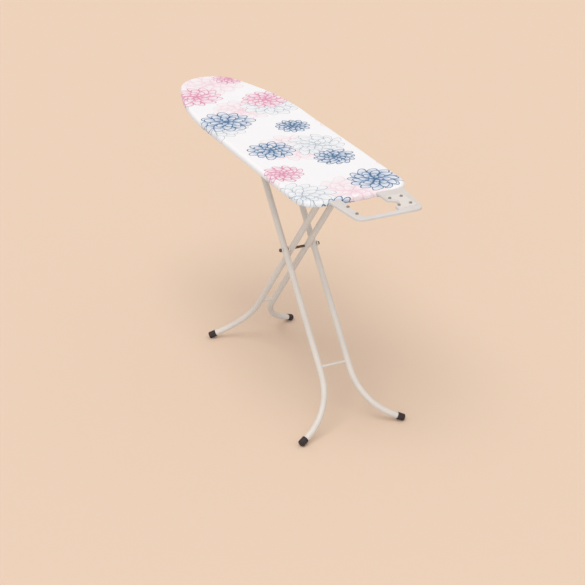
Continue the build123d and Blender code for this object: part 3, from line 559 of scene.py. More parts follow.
def cover_grid():
    """Points of the cover and their places on the flat cut, rows from the middle line to the casing's edge.

    Folds push the side in and out by PUCKER, lift the top's edge by TENSION and the hem by HEM_LIFT.
    """
    walked = np.linspace(0, 2 * half_length, EDGE_STEPS, endpoint=False)
    edge, out = edge_at(walked)
    inset, height, flat = cover_section(walked)
    wave = fold_wave(walked) * fold_share(walked)
    low = np.exp(-(((height - z_hem) / PUCKER_REACH) ** 2)) * (1 - smooth_rise(inset, 0, EDGE_RADIUS))
    wrapped = edge - (inset + PUCKER * wave * low)[..., None] * out
    on_top = smooth_rise(height, z_top - EDGE_RADIUS, z_top)
    tension = TENSION * wave * np.exp(-((inset / TENSION_REACH) ** 2))
    swell = top_swell(wrapped[..., 0], wrapped[..., 1])
    under = height < z_hem + HEM_REACH
    z = height + on_top * (swell + tension) + under * hem_lift(walked, inset)
    share = np.linspace(0, 1, MIDDLE_STEPS, endpoint=False)[:, None, None]
    middle = middle_point(edge) * (1 - share) + (edge - TOP_BAND * out) * share
    middle_z = z_top + top_swell(middle[..., 0], middle[..., 1])
    plan = np.concatenate([middle, wrapped])
    chart = np.concatenate([middle, edge + flat[..., None] * out])
    return np.concatenate([plan, np.concatenate([middle_z, z])[..., None]], axis=-1), chart


cover_points, cover_chart = cover_grid()
print("cover rows and columns", cover_points.shape[:2])

# %% [markdown]
# ## The print
#
# The cotton carries large loose blooms in blue, pink, grey and a very pale pink. Drawing them as geometry
# would need a very fine mesh, so they are a formula in the material. One node group draws a bloom: rings of
# petals from the outside in, every petal an ellipse that points away from the middle. Dividing how far a
# point is from the ellipse by how fast that changes gives a distance, so the pen line has the same width
# all round. Each layer then repeats the bloom over the flat cut on a staggered net, with another size, turn
# and colour in every cell.

# %% Bloom node group
# A ring's petals: how far out their middles lie and half their length, as shares of the bloom's radius, and
# their number.
PETAL_RINGS = ((0.71, 0.29, 12), (0.52, 0.26, 10), (0.33, 0.21, 8), (0.16, 0.15, 5))
PETAL_OVERLAP = 1.12
LENGTH_SPREAD = 0.13
RING_SEED = 7.3
RING_TURN = 0.7
SWIRL = 0.7
HEART_RIM = (0.10, 0.50)
HEART_TINT = (0.90, 0.25)
LINE_EDGE = 0.6
VEIN_EDGE = (0.15, 0.40)
VEIN_INK = 0.8
VEIN_END = (-0.05, 0.03)
PETAL_FADE = (-0.9, 1.1)
TIP_TINT = 0.10
RING_TINT = (0.75, 0.08)


def petal_gap(tree, angle, reach, seed, middle, half_span, petals):
    """Distance inside the nearest petal of a ring, whether a point is in it, and how far it is from the vein.

    With u and v from the petal's middle and k = sqrt((u/a)^2 + (v/b)^2), the distance is
    (1 - k) k / sqrt((u/a^2)^2 + (v/b^2)^2). All lengths are shares of the bloom's radius.
    """
    sector = 2 * math.pi / petals
    a, b = half_span, middle * sector / 2 * PETAL_OVERLAP
    turns = angle / sector
    index = turns.math("FLOOR")
    whim = tree.nodes.new("ShaderNodeTexWhiteNoise")
    whim.noise_dimensions = "1D"
    plug(tree, whim.inputs["W"], index.math("FLOORED_MODULO", petals) + seed + RING_SEED * petals)
    u = reach - middle - (Field(tree, whim.outputs["Value"]) - 0.5) * LENGTH_SPREAD
    v = (turns - index - 0.5) * sector * reach
    k = ((u / a) ** 2.0 + (v / b) ** 2.0) ** 0.5
    slope = ((u / a**2) ** 2.0 + (v / b**2) ** 2.0) ** 0.5
    gap = (k * -1.0 + 1.0) * k / slope
    side_gap = (v.size() * -1.0 + reach * (sector / 2)).most(0.0)
    return gap.least(side_gap), k < 1.0, v.size()


def bloom_group():
    """One bloom round the origin of Point: a filled heart under rings of outlined petals, from outside in."""
    tree = bpy.data.node_groups.new("layered_bloom", "ShaderNodeTree")
    for name, kind in (("Point", "Vector"), ("Radius", "Float"), ("Turn", "Float"), ("Pen", "Float")):
        tree.interface.new_socket(name, in_out="INPUT", socket_type=f"NodeSocket{kind}")
    for name in ("Ink", "Tint", "Inside"):
        tree.interface.new_socket(name, in_out="OUTPUT", socket_type="NodeSocketFloat")
    source = tree.nodes.new("NodeGroupInput")
    point, radius, turn, pen = (Field(tree, source.outputs[n]) for n in range(4))
    split = tree.nodes.new("ShaderNodeSeparateXYZ")
    plug(tree, split.inputs[0], point)
    x, y = Field(tree, split.outputs[0]), Field(tree, split.outputs[1])
    reach = (x * x + y * y) ** 0.5 / radius
    angle = y.math("ARCTAN2", x) + turn + reach * (turn.math("SINE") * SWIRL)
    nib = pen / radius
    inside = reach < HEART_RIM[1]
    ink = reach * 0.0
    tint = reach.step(*HEART_RIM, *HEART_TINT)
    for ring, (middle, half_span, petals) in enumerate(PETAL_RINGS):
        turned = angle + ring * RING_TURN
        gap, within, aside = petal_gap(tree, turned, reach, turn, middle, half_span, petals)
        line = gap.step(nib * LINE_EDGE, nib, 1.0, 0.0)
        vein_width = aside.step(nib * VEIN_EDGE[0], nib * VEIN_EDGE[1], VEIN_INK, 0.0)
        vein = vein_width * reach.step(middle + VEIN_END[0], middle + VEIN_END[1], 1.0, 0.0)
        fade_start, fade_end = (middle + share * half_span for share in PETAL_FADE)
        filled = reach.step(fade_start, fade_end, 1.0, TIP_TINT)
        ink = mix(within, ink, line.most(vein))
        tint = mix(within, tint, filled * (RING_TINT[0] + RING_TINT[1] * ring))
        inside = inside.most(within)
    result = tree.nodes.new("NodeGroupOutput")
    for entry, value in zip(result.inputs, (ink, tint, inside)):
        plug(tree, entry, value)
    print("bloom nodes", len(tree.nodes))
    return tree


bloom = bloom_group()


# %% A layer of blooms
COTTON = colour(251, 249, 250)
ROW_STAGGER = 0.5
TURN_SPREAD = 6.0


def pick(tree, chance, colours):
    """One of the colours, by a chance between 0 and 1 that is split evenly among them."""
    node = tree.nodes.new("ShaderNodeValToRGB")
    node.color_ramp.interpolation = "CONSTANT"
    stops = node.color_ramp.elements
    while len(stops) < len(colours):
        stops.new(1.0)
    for n, shade in enumerate(colours):
        stops[n].position = n / len(colours)
        stops[n].color = shade
    plug(tree, node.inputs[0], chance)
    return Field(tree, node.outputs[0])


def bloom_layer(tree, place, cloth, net, shift, radii, pen, inks, hearts):
    """Print one layer on a cloth. Net is a cell's size; shift moves the layer over the cut and seeds it."""
    row = (place[1] + shift[1]) / net[1]
    row_number = row.math("FLOOR")
    column = (place[0] + shift[0]) / net[0] + row_number.math("FLOORED_MODULO", 2.0) * ROW_STAGGER
    column_number = column.math("FLOOR")
    cell = tree.nodes.new("ShaderNodeCombineXYZ")
    for entry, value in zip(cell.inputs, (column_number, row_number, shift[2])):
        plug(tree, entry, value)
    chance = tree.nodes.new("ShaderNodeTexWhiteNoise")
    tree.links.new(cell.outputs[0], chance.inputs["Vector"])
    chances = tree.nodes.new("ShaderNodeSeparateColor")
    tree.links.new(chance.outputs["Color"], chances.inputs[0])
    first, second, third = (Field(tree, chances.outputs[n]) for n in range(3))
    which = Field(tree, chance.outputs["Value"])
    radius = third * (radii[1] - radii[0]) + radii[0]
    local = tree.nodes.new("ShaderNodeCombineXYZ")
    for n, (along, number, whim) in enumerate(((column, column_number, first), (row, row_number, second))):
        room = (radius * -1.0 + net[n] / 2).most(0.0) * 2.0
        plug(tree, local.inputs[n], (along - number - 0.5) * net[n] + (whim - 0.5) * room)
    drawn = tree.nodes.new("ShaderNodeGroup")
    drawn.node_tree = bloom
    tree.links.new(local.outputs[0], drawn.inputs["Point"])
    plug(tree, drawn.inputs["Radius"], radius)
    plug(tree, drawn.inputs["Turn"], first * TURN_SPREAD + second)
    drawn.inputs["Pen"].default_value = pen
    ink, tint, inside = (Field(tree, drawn.outputs[n]) for n in range(3))
    petal = mix_colours(tree, tint, COTTON, pick(tree, which, hearts))
    printed = mix_colours(tree, ink, petal, pick(tree, which, inks))
    return mix_colours(tree, inside, cloth, printed)


print("petals in a bloom", sum(petals for middle, half_span, petals in PETAL_RINGS))

# %% [markdown]
# ## Cotton
#
# Under the print the cloth is a plain weave, half a millimetre from thread to thread, with threads that
# vary a little in thickness. Threads follow the flat cut. A soft sheen and a high roughness keep it from
# looking like paper. The print's places are pushed about by noise first, so its lines look drawn by hand.

# %% Cotton material
THREAD = 0.00055
WEAVE_DEPTH = 0.00012
WEAVE_SHARE = 0.35
SLUB_GRAIN = 0.004
SLUB_STRETCH = 14.0
SLUB_TONE = 0.05
HAND_SHAKE = 0.010
SHAKES_PER_METRE = 32.0
NAVY = colour(68, 110, 146)
MID_BLUE = colour(112, 154, 206)
ROSE = colour(224, 148, 178)
PINK = colour(244, 168, 196)
LINE_GREY = colour(170, 180, 190)
MIST = colour(226, 232, 238)
BLUSH_LINE = colour(244, 212, 220)
BLUSH = colour(250, 222, 230)


def shaken(tree, chart):
    """Coordinates on the flat cut, pushed about by slow noise so that drawn lines wander: x, y."""
    push = tree.nodes.new("ShaderNodeTexNoise")
    plug(tree, push.inputs["Vector"], chart)
    push.inputs["Scale"].default_value = SHAKES_PER_METRE
    push.inputs["Detail"].default_value = 1.0
    pushes = tree.nodes.new("ShaderNodeSeparateColor")
    tree.links.new(push.outputs["Color"], pushes.inputs[0])
    split = tree.nodes.new("ShaderNodeSeparateXYZ")
    plug(tree, split.inputs[0], chart)
    return [
        Field(tree, split.outputs[n]) + (Field(tree, pushes.outputs[n]) - 0.5) * HAND_SHAKE for n in range(2)
    ]


def cotton():
    """Printed cotton: three layers of blooms over white cloth, with a plain weave in its bump."""
    material, tree, shader = new_material(
        "printed_cotton", Roughness=0.82, Sheen_Weight=0.10, Sheen_Roughness=0.6, Specular_IOR_Level=0.25
    )
    source = tree.nodes.new("ShaderNodeUVMap")
    source.uv_map = "flat_cut"
    chart = Field(tree, source.outputs[0])
    place = shaken(tree, chart)
    printed = bloom_layer(
        tree, place, COTTON, net=(0.330, 0.255), shift=(0.070, 0.130, 3.0), radii=(0.095, 0.122),
        pen=0.0024, inks=[BLUSH_LINE], hearts=[BLUSH],
    )
    printed = bloom_layer(
        tree, place, printed, net=(0.420, 0.225), shift=(0.270, 0.265, 5.0), radii=(0.082, 0.106),
        pen=0.0020, inks=[LINE_GREY], hearts=[MIST],
    )
    printed = bloom_layer(
        tree, place, printed, net=(0.242, 0.186), shift=(0.330, 0.186, 8.0), radii=(0.050, 0.088),
        pen=0.0038, inks=[NAVY, ROSE], hearts=[MID_BLUE, PINK],
    )
    slub = noise(tree, stretched(tree, chart, (SLUB_STRETCH, 1.0, 1.0)), SLUB_GRAIN, detail=2.0)
    slub = slub + noise(tree, stretched(tree, chart, (1.0, SLUB_STRETCH, 1.0)), SLUB_GRAIN, detail=2.0)
    shade = tree.nodes.new("ShaderNodeHueSaturation")
    plug(tree, shade.inputs["Color"], printed)
    plug(tree, shade.inputs["Value"], slub * SLUB_TONE + (1 - SLUB_TONE))
    tree.links.new(shade.outputs[0], shader.inputs["Base Color"])
    split = tree.nodes.new("ShaderNodeSeparateXYZ")
    plug(tree, split.inputs[0], chart)
    warp, weft = (Field(tree, split.outputs[n]) * (2 * math.pi / THREAD) for n in range(2))
    weave = warp.math("SINE") * weft.math("SINE")
    bump(tree, shader, weave * WEAVE_SHARE + slub * (1 - WEAVE_SHARE), WEAVE_DEPTH, 0.6)
    return material


cotton_material = cotton()
print("cotton nodes", len(cotton_material.node_tree.nodes))

# %% [markdown]
# ## Making the cover
#
# The flat cut's area follows from its outline, which is the board's edge moved out by the cloth that goes
# over the rim and under it. The cover carries the flat cut as its UV map.

# %% Cover piece
cover = new_piece(
    "printed_cover", cover_points, grid_quads(*cover_points.shape[:2], close_columns=True), cotton_material,
    "board", cover_chart,
)
merge_doubles(cover)
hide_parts("cover")

# %% [markdown]
# ## Felt
#
# A needled felt pad lies between the deck and the cover and shows only through the deck's vents, from
# below. It is one closed surface from the same outline: across the top from the middle line, round its
# pressed edge, an arc inside the cover's own, and back underneath. Its material mixes fine and coarse noise
# into a fibrous bump.

# %% Felt pad
FELT_TOP_GAP = 0.0004
FELT_FLOOR_GAP = 0.00005
FELT_EDGE_STEPS = 9
FELT_STEPS = 12
FIBRE_GRAIN = 0.0025
FIBRE_STRETCH = 5.0
FELT_CLOUD = 0.012
FIBRE_SHARE = 0.7
FELT_DEPTH = 0.0006
FELT_DARK = colour(196, 190, 178)
FELT_PALE = colour(232, 228, 218)

felt_low, felt_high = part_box("felt_pad")


def felt_grid():
    """Closed felt, rows from the middle line over the top, round the edge and back under to the middle line.

    Round the edge a row lies at an angle t on an arc about the middle of the cover's own edge round.
    """
    walked = np.linspace(0, 2 * half_length, EDGE_STEPS // 2, endpoint=False)
    edge, out = edge_at(walked)
    middle = middle_point(edge)
    top, floor = felt_high.z - FELT_TOP_GAP, felt_low.z + FELT_FLOOR_GAP
    arc_middle = z_top - EDGE_RADIUS
    arc_radius = top - arc_middle
    turn = np.linspace(0, math.acos((floor - arc_middle) / arc_radius), FELT_EDGE_STEPS)
    inset = EDGE_RADIUS - arc_radius * np.sin(turn)
    height = arc_middle + arc_radius * np.cos(turn)
    rim = edge - inset[:, None, None] * out
    share = np.linspace(0, 1, FELT_STEPS, endpoint=False)[:, None, None]
    inward = middle * (1 - share) + rim[0] * share
    back = middle * (1 - share) + rim[-1] * share
    plan = np.concatenate([inward, rim, back[::-1]])
    level = np.concatenate([np.full(len(inward), top), height, np.full(len(inward), floor)])
    z = np.broadcast_to(level[:, None], plan.shape[:2])
    return np.concatenate([plan, z[..., None]], axis=-1)


def felt():
    """Needled felt: pale fibres in a fine and a coarse noise, with some darker ones among them."""
    material, tree, shader = new_material(
        "needled_felt", Roughness=0.95, Sheen_Weight=0.2, Specular_IOR_Level=0.1
    )
    place = object_place(tree)
    drawn_out = stretched(tree, place, (1.0, FIBRE_STRETCH, 1.0))
    fibre = noise(tree, drawn_out, FIBRE_GRAIN, detail=5.0, roughness=0.7)
    cloud = noise(tree, place, FELT_CLOUD, detail=4.0)
    nap = fibre * FIBRE_SHARE + cloud * (1 - FIBRE_SHARE)
    tone = mix_colours(tree, nap.step(0.3, 0.7), FELT_DARK, FELT_PALE)
    tree.links.new(tone.socket, shader.inputs["Base Color"])
    bump(tree, shader, nap, FELT_DEPTH, 0.8)
    return material


felt_points = felt_grid()
felt_pad = new_piece(
    "needled_felt_pad", felt_points, grid_quads(*felt_points.shape[:2], close_columns=True), felt(),
    "board",
)
merge_doubles(felt_pad)
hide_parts("felt_pad")

# %% [markdown]
# ## Elastic and stitches
#
# Inside the casing runs a flat knitted elastic, which follows every fold of the hem. A line of stitches
# holds the casing shut. A stitch is a short thread that dips into the cloth at both ends, and all of them
# are worked out in one array: six sides and six rings are enough for a thread half a millimetre thick.

# %% Elastic and stitches
ELASTIC_INSET = 0.0220
ELASTIC_HALF_WIDTH = 0.0026
ELASTIC_HALF_THICKNESS = 0.00045
ELASTIC_SIDES = 12
ELASTIC_POWER = 0.5
STITCH_INSET = 0.0181
STITCH_PITCH = 0.0046
STITCH_LENGTH = 0.0031
STITCH_RADIUS = 0.00027
STITCH_RINGS = 6
STITCH_SIDES = 6
STITCH_TIP = 0.04
KNIT_DEPTH = 0.0003
KNIT_SHADE = 0.9


def elastic_grid():
    """Flat closed band along the hem. Its section is a rounded oblong, |cos a|^p wide and |sin a|^p thick."""
    walked = np.linspace(0, 2 * half_length, EDGE_STEPS, endpoint=False)
    edge, out = edge_at(walked)
    turn = np.linspace(0, 2 * math.pi, ELASTIC_SIDES, endpoint=False)
    across = ELASTIC_HALF_WIDTH * np.sign(np.cos(turn)) * np.abs(np.cos(turn)) ** ELASTIC_POWER
    over = ELASTIC_HALF_THICKNESS * np.sign(np.sin(turn)) * np.abs(np.sin(turn)) ** ELASTIC_POWER
    inset = ELASTIC_INSET - across
    plan = edge[:, None] - inset[None, :, None] * out[:, None]
    z = z_hem + CASING_RADIUS + over[None, :] + hem_lift(walked[:, None], inset[None, :])
    return np.concatenate([plan, z[..., None]], axis=-1)


def stitch_grid():
    """Stitches: a ring at t, from -1 to 1 along a stitch, sinks by t^2 and thins to about sqrt(1 - t^2)."""
    count = int(2 * half_length / STITCH_PITCH)
    t = np.linspace(-1, 1, STITCH_RINGS)
    turn = np.linspace(0, 2 * math.pi, STITCH_SIDES, endpoint=False)
    walked = np.arange(count)[:, None] * (2 * half_length / count) + t[None, :] * STITCH_LENGTH / 2
    edge, out = edge_at(walked)
    girth = STITCH_RADIUS * np.sqrt(np.clip(1 + STITCH_TIP - t * t, 0, 1))
    across = girth[:, None] * np.cos(turn)
    over = girth[:, None] * np.sin(turn) + (t * t * STITCH_RADIUS)[:, None]
    plan = edge[:, :, None] - (STITCH_INSET + across)[None, :, :, None] * out[:, :, None]
    z = z_hem + hem_lift(walked, STITCH_INSET)[:, :, None] + over[None]
    return np.concatenate([plan, z[..., None]], axis=-1)


def repeated_quads(count, rows, columns):
    """Quads of many separate tubes whose points follow each other in one array."""
    one = grid_quads(rows, columns, close_columns=True)
    return (one[None] + (np.arange(count) * rows * columns)[:, None, None]).reshape(-1, 4)


def shaded(tone, share):
    """A colour whose screen levels are a share of those of a tone."""
    return colour(*(share * np.array(tone)))


def knitted(name, tone, rib):
    """Knitted tape or thread: fine ribs in the bump and a little variation in tone."""
    material, tree, shader = new_material(name, Roughness=0.85, Sheen_Weight=0.15, Specular_IOR_Level=0.2)
    place = object_place(tree)
    ribs = noise(tree, place, rib, detail=2.0)
    base = mix_colours(tree, ribs, shaded(tone, KNIT_SHADE), colour(*tone))
    tree.links.new(base.socket, shader.inputs["Base Color"])
    bump(tree, shader, ribs, KNIT_DEPTH, 0.6)
    return material


elastic_points = elastic_grid()
elastic = new_piece(
    "knitted_elastic", elastic_points, grid_quads(*elastic_points.shape[:2], True, True)[:, ::-1],
    knitted("knitted_elastic", (238, 238, 236), rib=0.0008), "board",
)
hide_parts("hem_elastic")
stitch_points = stitch_grid()
new_piece(
    "hem_stitches", stitch_points, repeated_quads(*stitch_points.shape[:3]),
    knitted("sewing_thread", (232, 229, 232), rib=0.0004), "board",
)
print("stitches", len(stitch_points))

# %% [markdown]
# ## Finishes of the hard parts
#
# The metal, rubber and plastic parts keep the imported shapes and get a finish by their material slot. Powder
# coat has a fine orange peel and slow changes of tone. Zinc has faint crystals. Rubber and moulded plastic
# have a fine grain. All of these read the place on the part in metres, so each detail keeps its real size.

# %% Finishes
PAINT_CLOUD = 0.060
PAINT_SPECK = 0.0030
PAINT_SHADE = 0.965
PEEL_DEPTH = 0.00009
CRYSTAL_SHADE = 0.90
DRAWN_GRAIN = 0.0006
DRAWN_STRETCH = 0.08
DRAWN_DEPTH = 0.00003
MOULD_CLOUD = 0.020
DUST_PALENESS = 0.5


def painted(name, tone, roughness, peel=0.0011):
    """Satin powder coat: orange peel in the bump, slow changes of tone, and a few duller patches."""
    material, tree, shader = new_material(name, Specular_IOR_Level=0.45)
    place = object_place(tree)
    cloud = noise(tree, place, PAINT_CLOUD, detail=4.0, roughness=0.6)
    speck = noise(tree, place, PAINT_SPECK, detail=2.0)
    shade = (cloud * 0.75 + speck * 0.25).step(0.3, 0.7)
    base = mix_colours(tree, shade, shaded(tone, PAINT_SHADE), colour(*tone))
    tree.links.new(base.socket, shader.inputs["Base Color"])
    dull = cloud.step(0.35, 0.70, roughness - 0.05, roughness + 0.10)
    tree.links.new(dull.socket, shader.inputs["Roughness"])
    bump(tree, shader, noise(tree, place, peel, detail=1.0), PEEL_DEPTH, 0.35)
    return material


def plated(name, tone, roughness, crystal):
    """Plated steel: Voronoi crystals that differ a little in tone and gloss, under fine drawn lines."""
    material, tree, shader = new_material(name, Metallic=1.0)
    place = object_place(tree)
    cells = tree.nodes.new("ShaderNodeTexVoronoi")
    plug(tree, cells.inputs["Vector"], place)
    cells.inputs["Scale"].default_value = 1 / crystal
    grey = tree.nodes.new("ShaderNodeRGBToBW")
    tree.links.new(cells.outputs["Color"], grey.inputs[0])
    crystals = Field(tree, grey.outputs[0])
    lines = noise(tree, stretched(tree, place, (1.0, DRAWN_STRETCH, 1.0)), DRAWN_GRAIN, detail=2.0)
    base = mix_colours(tree, crystals, shaded(tone, CRYSTAL_SHADE), colour(*tone))
    tree.links.new(base.socket, shader.inputs["Base Color"])
    gloss = (crystals * 0.5 + lines * 0.5).step(0.2, 0.8, roughness - 0.07, roughness + 0.08)
    tree.links.new(gloss.socket, shader.inputs["Roughness"])
    bump(tree, shader, lines, DRAWN_DEPTH, 0.3)
    return material


def moulded(name, tone, roughness, grain, depth, dust=0.08):
    """Moulded rubber or plastic: a fine pebbled grain, and tone and gloss that change slowly over it."""
    material, tree, shader = new_material(name, Specular_IOR_Level=0.4)
    place = object_place(tree)
    pebble = noise(tree, place, grain, detail=2.0, roughness=0.6)
    cloud = noise(tree, place, MOULD_CLOUD, detail=4.0, roughness=0.65)
    worn = (cloud * 0.6 + pebble * 0.4).step(0.40, 0.75, 0.0, dust)
    dusty = colour(*(255 - DUST_PALENESS * (255 - np.array(tone))))
    base = mix_colours(tree, worn, colour(*tone), dusty)
    tree.links.new(base.socket, shader.inputs["Base Color"])
    gloss = cloud.step(0.3, 0.7, roughness - 0.06, roughness + 0.10)
    tree.links.new(gloss.socket, shader.inputs["Roughness"])
    bump(tree, shader, pebble, depth, 0.5)
    return material


finishes = {
    "deck_steel": painted("deck_coat", (205, 203, 201), 0.48),
    "leg_paint": painted("leg_coat", (234, 225, 216), 0.38),
    "rest_paint": painted("rest_coat", (226, 220, 217), 0.40),
    "rest_plate": moulded("rest_plate", (232, 226, 220), 0.55, grain=0.0007, depth=0.00008, dust=0.0),
    "stud_silicone": moulded("stud_silicone", (146, 137, 129), 0.60, grain=0.0006, depth=0.00005),
    "zinc_steel": plated("zinc_plate", (206, 206, 208), 0.34, crystal=0.0035),
    "spring_steel": plated("drawn_wire", (176, 176, 180), 0.30, crystal=0.0010),
    "grip_plastic": moulded("grip_plastic", (58, 58, 62), 0.50, grain=0.0006, depth=0.00008),
    "foot_rubber": moulded("foot_rubber", (44, 34, 39), 0.58, grain=0.0008, depth=0.00010, dust=0.10),
    "black_steel": painted("black_oxide", (94, 78, 67), 0.42, peel=0.0006),
    "white_nylon": moulded("white_nylon", (238, 234, 228), 0.42, grain=0.0008, depth=0.00004, dust=0.0),
}
for row in frame["record"]["subparts"]:
    finish = finishes.get(row["material_slot"])
    if finish:
        for holder in nodes[row["node"]].material_slots:
            holder.material = finish
print("finishes", len(finishes))

# %% [markdown]
# ## Weld beads
#
# The thin cross bars are welded between the leg tubes. Where a round bar meets a round tube, the seam
# follows the tube's surface: at an angle t round the bar, the tube's wall is sqrt(R^2 - (r sin t)^2) from
# the tube's axis. A bead with small ripples is carried along that seam.

# %% Weld beads
LEG_TILT = math.radians(39.35)
TUBE_RADIUS = 0.0095
BEAD_RADIUS = 0.0016
BEAD_RIPPLES = 13
BEAD_RIPPLE_DEPTH = 0.10
BEAD_STEPS = 6 * BEAD_RIPPLES
BEAD_SIDES = 10


def weld_bead(bar, tube, lean):
    """Bead where a cross bar ends on a leg tube. Lean is 1 where the tube goes down to the heel, else -1."""
    bar_low, bar_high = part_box(bar)
    tube_low, tube_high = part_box(tube)
    bar_radius = (bar_high.z - bar_low.z) / 2
    centre = (bar_low + bar_high) / 2
    wall = np.sign(tube_low.y + tube_high.y)
    y_axis = wall * (bar_high.y + math.sqrt(TUBE_RADIUS**2 - bar_radius**2))
    along = np.array([lean * math.sin(LEG_TILT), 0, -math.cos(LEG_TILT)])
    across = np.array([math.cos(LEG_TILT), 0, lean * math.sin(LEG_TILT)])
    t = np.linspace(0, 2 * math.pi, BEAD_STEPS, endpoint=False)
    y = y_axis - wall * np.sqrt(TUBE_RADIUS**2 - (bar_radius * np.sin(t)) ** 2)
    path = bar_radius * (np.cos(t)[:, None] * along + np.sin(t)[:, None] * across)
    path = path + np.array([centre.x, 0, centre.z]) + y[:, None] * np.array([0, 1.0, 0])
    girth = BEAD_RADIUS * (1 + BEAD_RIPPLE_DEPTH * np.sin(BEAD_RIPPLES * t))
    return round_section(path, girth, np.array([0, 1.0, 0]), BEAD_SIDES, closed=True)


for pair, lean in (("inner", -1), ("outer", 1)):
    for side in ("left", "right"):
        bead_points = weld_bead(f"{pair}_cross_bar", f"{pair}_tube_{side}", lean)
        new_piece(
            f"{pair}_weld_{side}", bead_points, grid_quads(*bead_points.shape[:2], True, True),
            finishes["leg_paint"], f"{pair}_legs",
        )

# %% [markdown]
# ## Return spring
#
# A coil spring pushes the release lever back. Its end turns lie nearly flat against their seats and the
# turns between them climb evenly, so the height is three straight runs over the angle. The real spring
# shortens as the lever is squeezed; this one keeps one length.

# %% Return spring
SPRING_WIRE = 0.0012
SPRING_COILS = 5.0
SPRING_FLAT_TURNS = 0.75
SPRING_FLAT_RISE = 0.08
SPRING_STEPS = 40
SPRING_SIDES = 10
WIRE_END_TURNS = 0.02
WIRE_TIP = 0.01

spring_low, spring_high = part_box("lever_spring")
spring_middle = (spring_low + spring_high) / 2
spring_radius = (spring_high.y - spring_low.y - SPRING_WIRE) / 2


def spring_grid():
    """Wire on a helix: a circle over the turn, and a height that climbs evenly between nearly flat end turns.

    The wire thins with the square root of the distance to its end, which rounds it off.
    """
    turn = np.linspace(0, SPRING_COILS, int(SPRING_COILS * SPRING_STEPS) + 1)
    climb = np.clip((turn - SPRING_FLAT_TURNS) / (SPRING_COILS - 2 * SPRING_FLAT_TURNS), 0, 1)
    flat = np.minimum(turn, SPRING_FLAT_TURNS) + np.maximum(turn - SPRING_COILS + SPRING_FLAT_TURNS, 0)
    height = spring_high.z - spring_low.z - SPRING_WIRE
    flat_rise = SPRING_FLAT_RISE * height
    z_wire = spring_low.z + SPRING_WIRE / 2
    z = z_wire + flat_rise * flat / SPRING_FLAT_TURNS + (height - 2 * flat_rise) * climb
    angle = 2 * math.pi * turn
    x = spring_middle.x + spring_radius * np.cos(angle)
    y = spring_middle.y + spring_radius * np.sin(angle)
    from_end = np.minimum(turn, SPRING_COILS - turn) / WIRE_END_TURNS
    girth = SPRING_WIRE / 2 * np.sqrt(np.clip(from_end + WIRE_TIP, 0, 1))
    path = np.stack([x, y, z], axis=-1)
    return round_section(path, girth, np.array([0, 0, 1.0]), SPRING_SIDES, closed=False)


spring_points = spring_grid()
spring = new_piece(
    "return_spring", spring_points, grid_quads(*spring_points.shape[:2], close_columns=True),
    finishes["spring_steel"], "board",
)
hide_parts("lever_spring")
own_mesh(spring)

# %% [markdown]
# ## Ribbed grip
#
# The hand grip on the release rod is a soft moulded sleeve with rounded ribs. It is a surface of
# revolution: the radius is a function of the place along the rod. Both ends are rounded, and the inner one
# is open where the rod goes in.

# %% Ribbed grip
RIB_PITCH = 0.0050
RIB_DEPTH = 0.0007
RIB_POWER = 3
RIB_FADE = (0.006, 0.011)
GRIP_DOME = 0.0050
GRIP_BORE = 0.0043
BORE_DEPTH = 0.004
DOME_STEPS = 8
GRIP_STEPS = 220
GRIP_SIDES = 48
POLE_RADIUS = 1e-6
POLE_MERGE = 5e-6

grip_low, grip_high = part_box("release_grip")
grip_middle = (grip_low + grip_high) / 2
grip_radius = (grip_high.z - grip_low.z) / 2


def grip_grid():
    """Rings along the rod: an outline with quarter-round ends, less ribs of (0.5 - 0.5 cos)^RIB_POWER."""
    dome = np.linspace(0, math.pi / 2, DOME_STEPS)
    reach = grip_high.y - grip_low.y
    body = np.linspace(GRIP_DOME, reach - GRIP_DOME, GRIP_STEPS)[1:-1]
    at = np.concatenate([GRIP_DOME * (1 - np.cos(dome)), body, reach - GRIP_DOME * np.cos(dome[::-1])])
    core = grip_radius - GRIP_DOME
    radius = np.concatenate([core + GRIP_DOME * np.sin(dome), np.full_like(body, grip_radius)])
    radius = np.concatenate([radius, core + GRIP_DOME * np.sin(dome[::-1])])
    from_end = np.minimum(at, reach - at)
    ribs = (0.5 - 0.5 * np.cos(2 * math.pi * at / RIB_PITCH)) ** RIB_POWER
    radius = radius - RIB_DEPTH * ribs * smooth_rise(from_end, *RIB_FADE)
    at = np.concatenate([[0.0], at, [reach, reach - BORE_DEPTH]])
    radius = np.concatenate([[POLE_RADIUS], radius, [GRIP_BORE, GRIP_BORE]])
    turn = np.linspace(0, 2 * math.pi, GRIP_SIDES, endpoint=False)
    x = grip_middle.x + radius[:, None] * np.cos(turn)
    z = grip_middle.z + radius[:, None] * np.sin(turn)
    y = np.broadcast_to((grip_low.y + at)[:, None], x.shape)
    return np.stack([x, y, z], axis=-1)


grip_points = grip_grid()
grip = new_piece(
    "ribbed_grip", grip_points, grid_quads(*grip_points.shape[:2], close_columns=True),
    finishes["grip_plastic"], "release_lever",
)
merge_doubles(grip, POLE_MERGE)
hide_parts("release_grip")

# %% [markdown]
# ## Lights and floor
#
# The object stands on a plain pale floor in soft studio light. A wide overhead sun models the board's edge
# and the tubes, a weaker one from the camera's side opens the shadows, and the world gives the even part.
# Together they light a level surface with about one unit, so a colour looks as it is written. Floor and
# backdrop look warm to the camera and to mirrors but light the object with a neutral tone, so that whites
# stay white.

# %% Studio
FLOOR_SIZE = 60.0
WORLD_STRENGTH = 0.62
KEY_FROM = (0.35, -0.55, 2.2)
KEY_STRENGTH = 1.00
FILL_FROM = (2.2, -1.3, 0.8)
FILL_STRENGTH = 0.60
LAMP_WIDTH = math.radians(45)
BACKDROP = colour(240, 212, 188)
FLOOR_BOUNCE = colour(208, 201, 196)


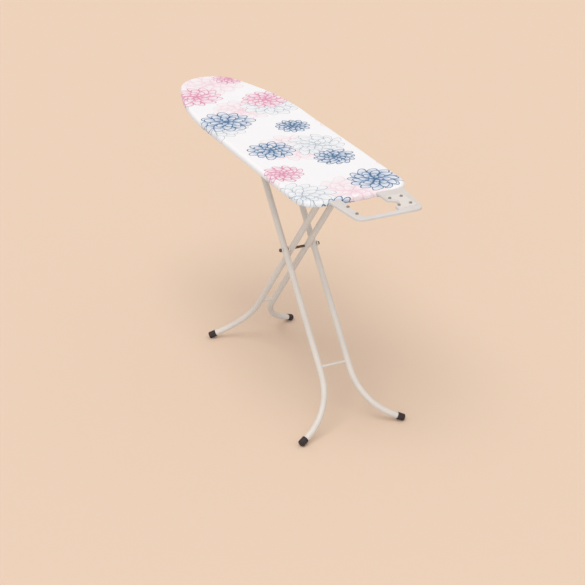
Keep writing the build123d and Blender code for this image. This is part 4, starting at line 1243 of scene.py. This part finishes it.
def seen_directly(tree):
    """1 for rays from the camera, from mirrors and through glass, 0 for light between surfaces."""
    path = tree.nodes.new("ShaderNodeLightPath")
    camera_ray, glossy, through = (
        Field(tree, path.outputs[name]) for name in ("Is Camera Ray", "Is Glossy Ray", "Is Transmission Ray")
    )
    return camera_ray.most(glossy).most(through)


def studio_floor():
    """A wide floor whose colour for direct rays is warmer than the light that it throws back."""
    material, tree, shader = new_material("studio_floor", Roughness=0.9, Specular_IOR_Level=0.1)
    tone = mix_colours(tree, seen_directly(tree), FLOOR_BOUNCE, BACKDROP)
    tree.links.new(tone.socket, shader.inputs["Base Color"])
    half = FLOOR_SIZE / 2
    mesh = bpy.data.meshes.new("floor")
    corners = [(-half, -half, 0), (half, -half, 0), (half, half, 0), (-half, half, 0)]
    mesh.from_pydata(corners, [], [(0, 1, 2, 3)])
    mesh.materials.append(material)
    floor = bpy.data.objects.new("floor", mesh)
    bpy.context.scene.collection.objects.link(floor)


def studio_world():
    """Even white light all round; direct rays see the backdrop's colour instead."""
    world = bpy.data.worlds.new("studio")
    bpy.context.scene.world = world
    world.use_nodes = True
    tree = world.node_tree
    background = tree.nodes["Background"]
    seen = seen_directly(tree)
    tone = mix_colours(tree, seen, (1.0, 1.0, 1.0, 1.0), BACKDROP)
    tree.links.new(tone.socket, background.inputs["Color"])
    strength = seen * (1.0 - WORLD_STRENGTH) + WORLD_STRENGTH
    tree.links.new(strength.socket, background.inputs["Strength"])


def soft_sun(name, source, strength):
    """A sun as wide as a large softbox, shining from a direction."""
    lamp = bpy.data.lights.new(name, "SUN")
    lamp.energy = strength
    lamp.angle = LAMP_WIDTH
    holder = bpy.data.objects.new(name, lamp)
    bpy.context.scene.collection.objects.link(holder)
    holder.rotation_mode = "QUATERNION"
    holder.rotation_quaternion = (-Vector(source)).to_track_quat("-Z", "Y")


studio_floor()
studio_world()
soft_sun("key_sun", KEY_FROM, KEY_STRENGTH)
soft_sun("fill_sun", FILL_FROM, FILL_STRENGTH)
bpy.context.scene.view_settings.view_transform = "Standard"
print("studio ready")
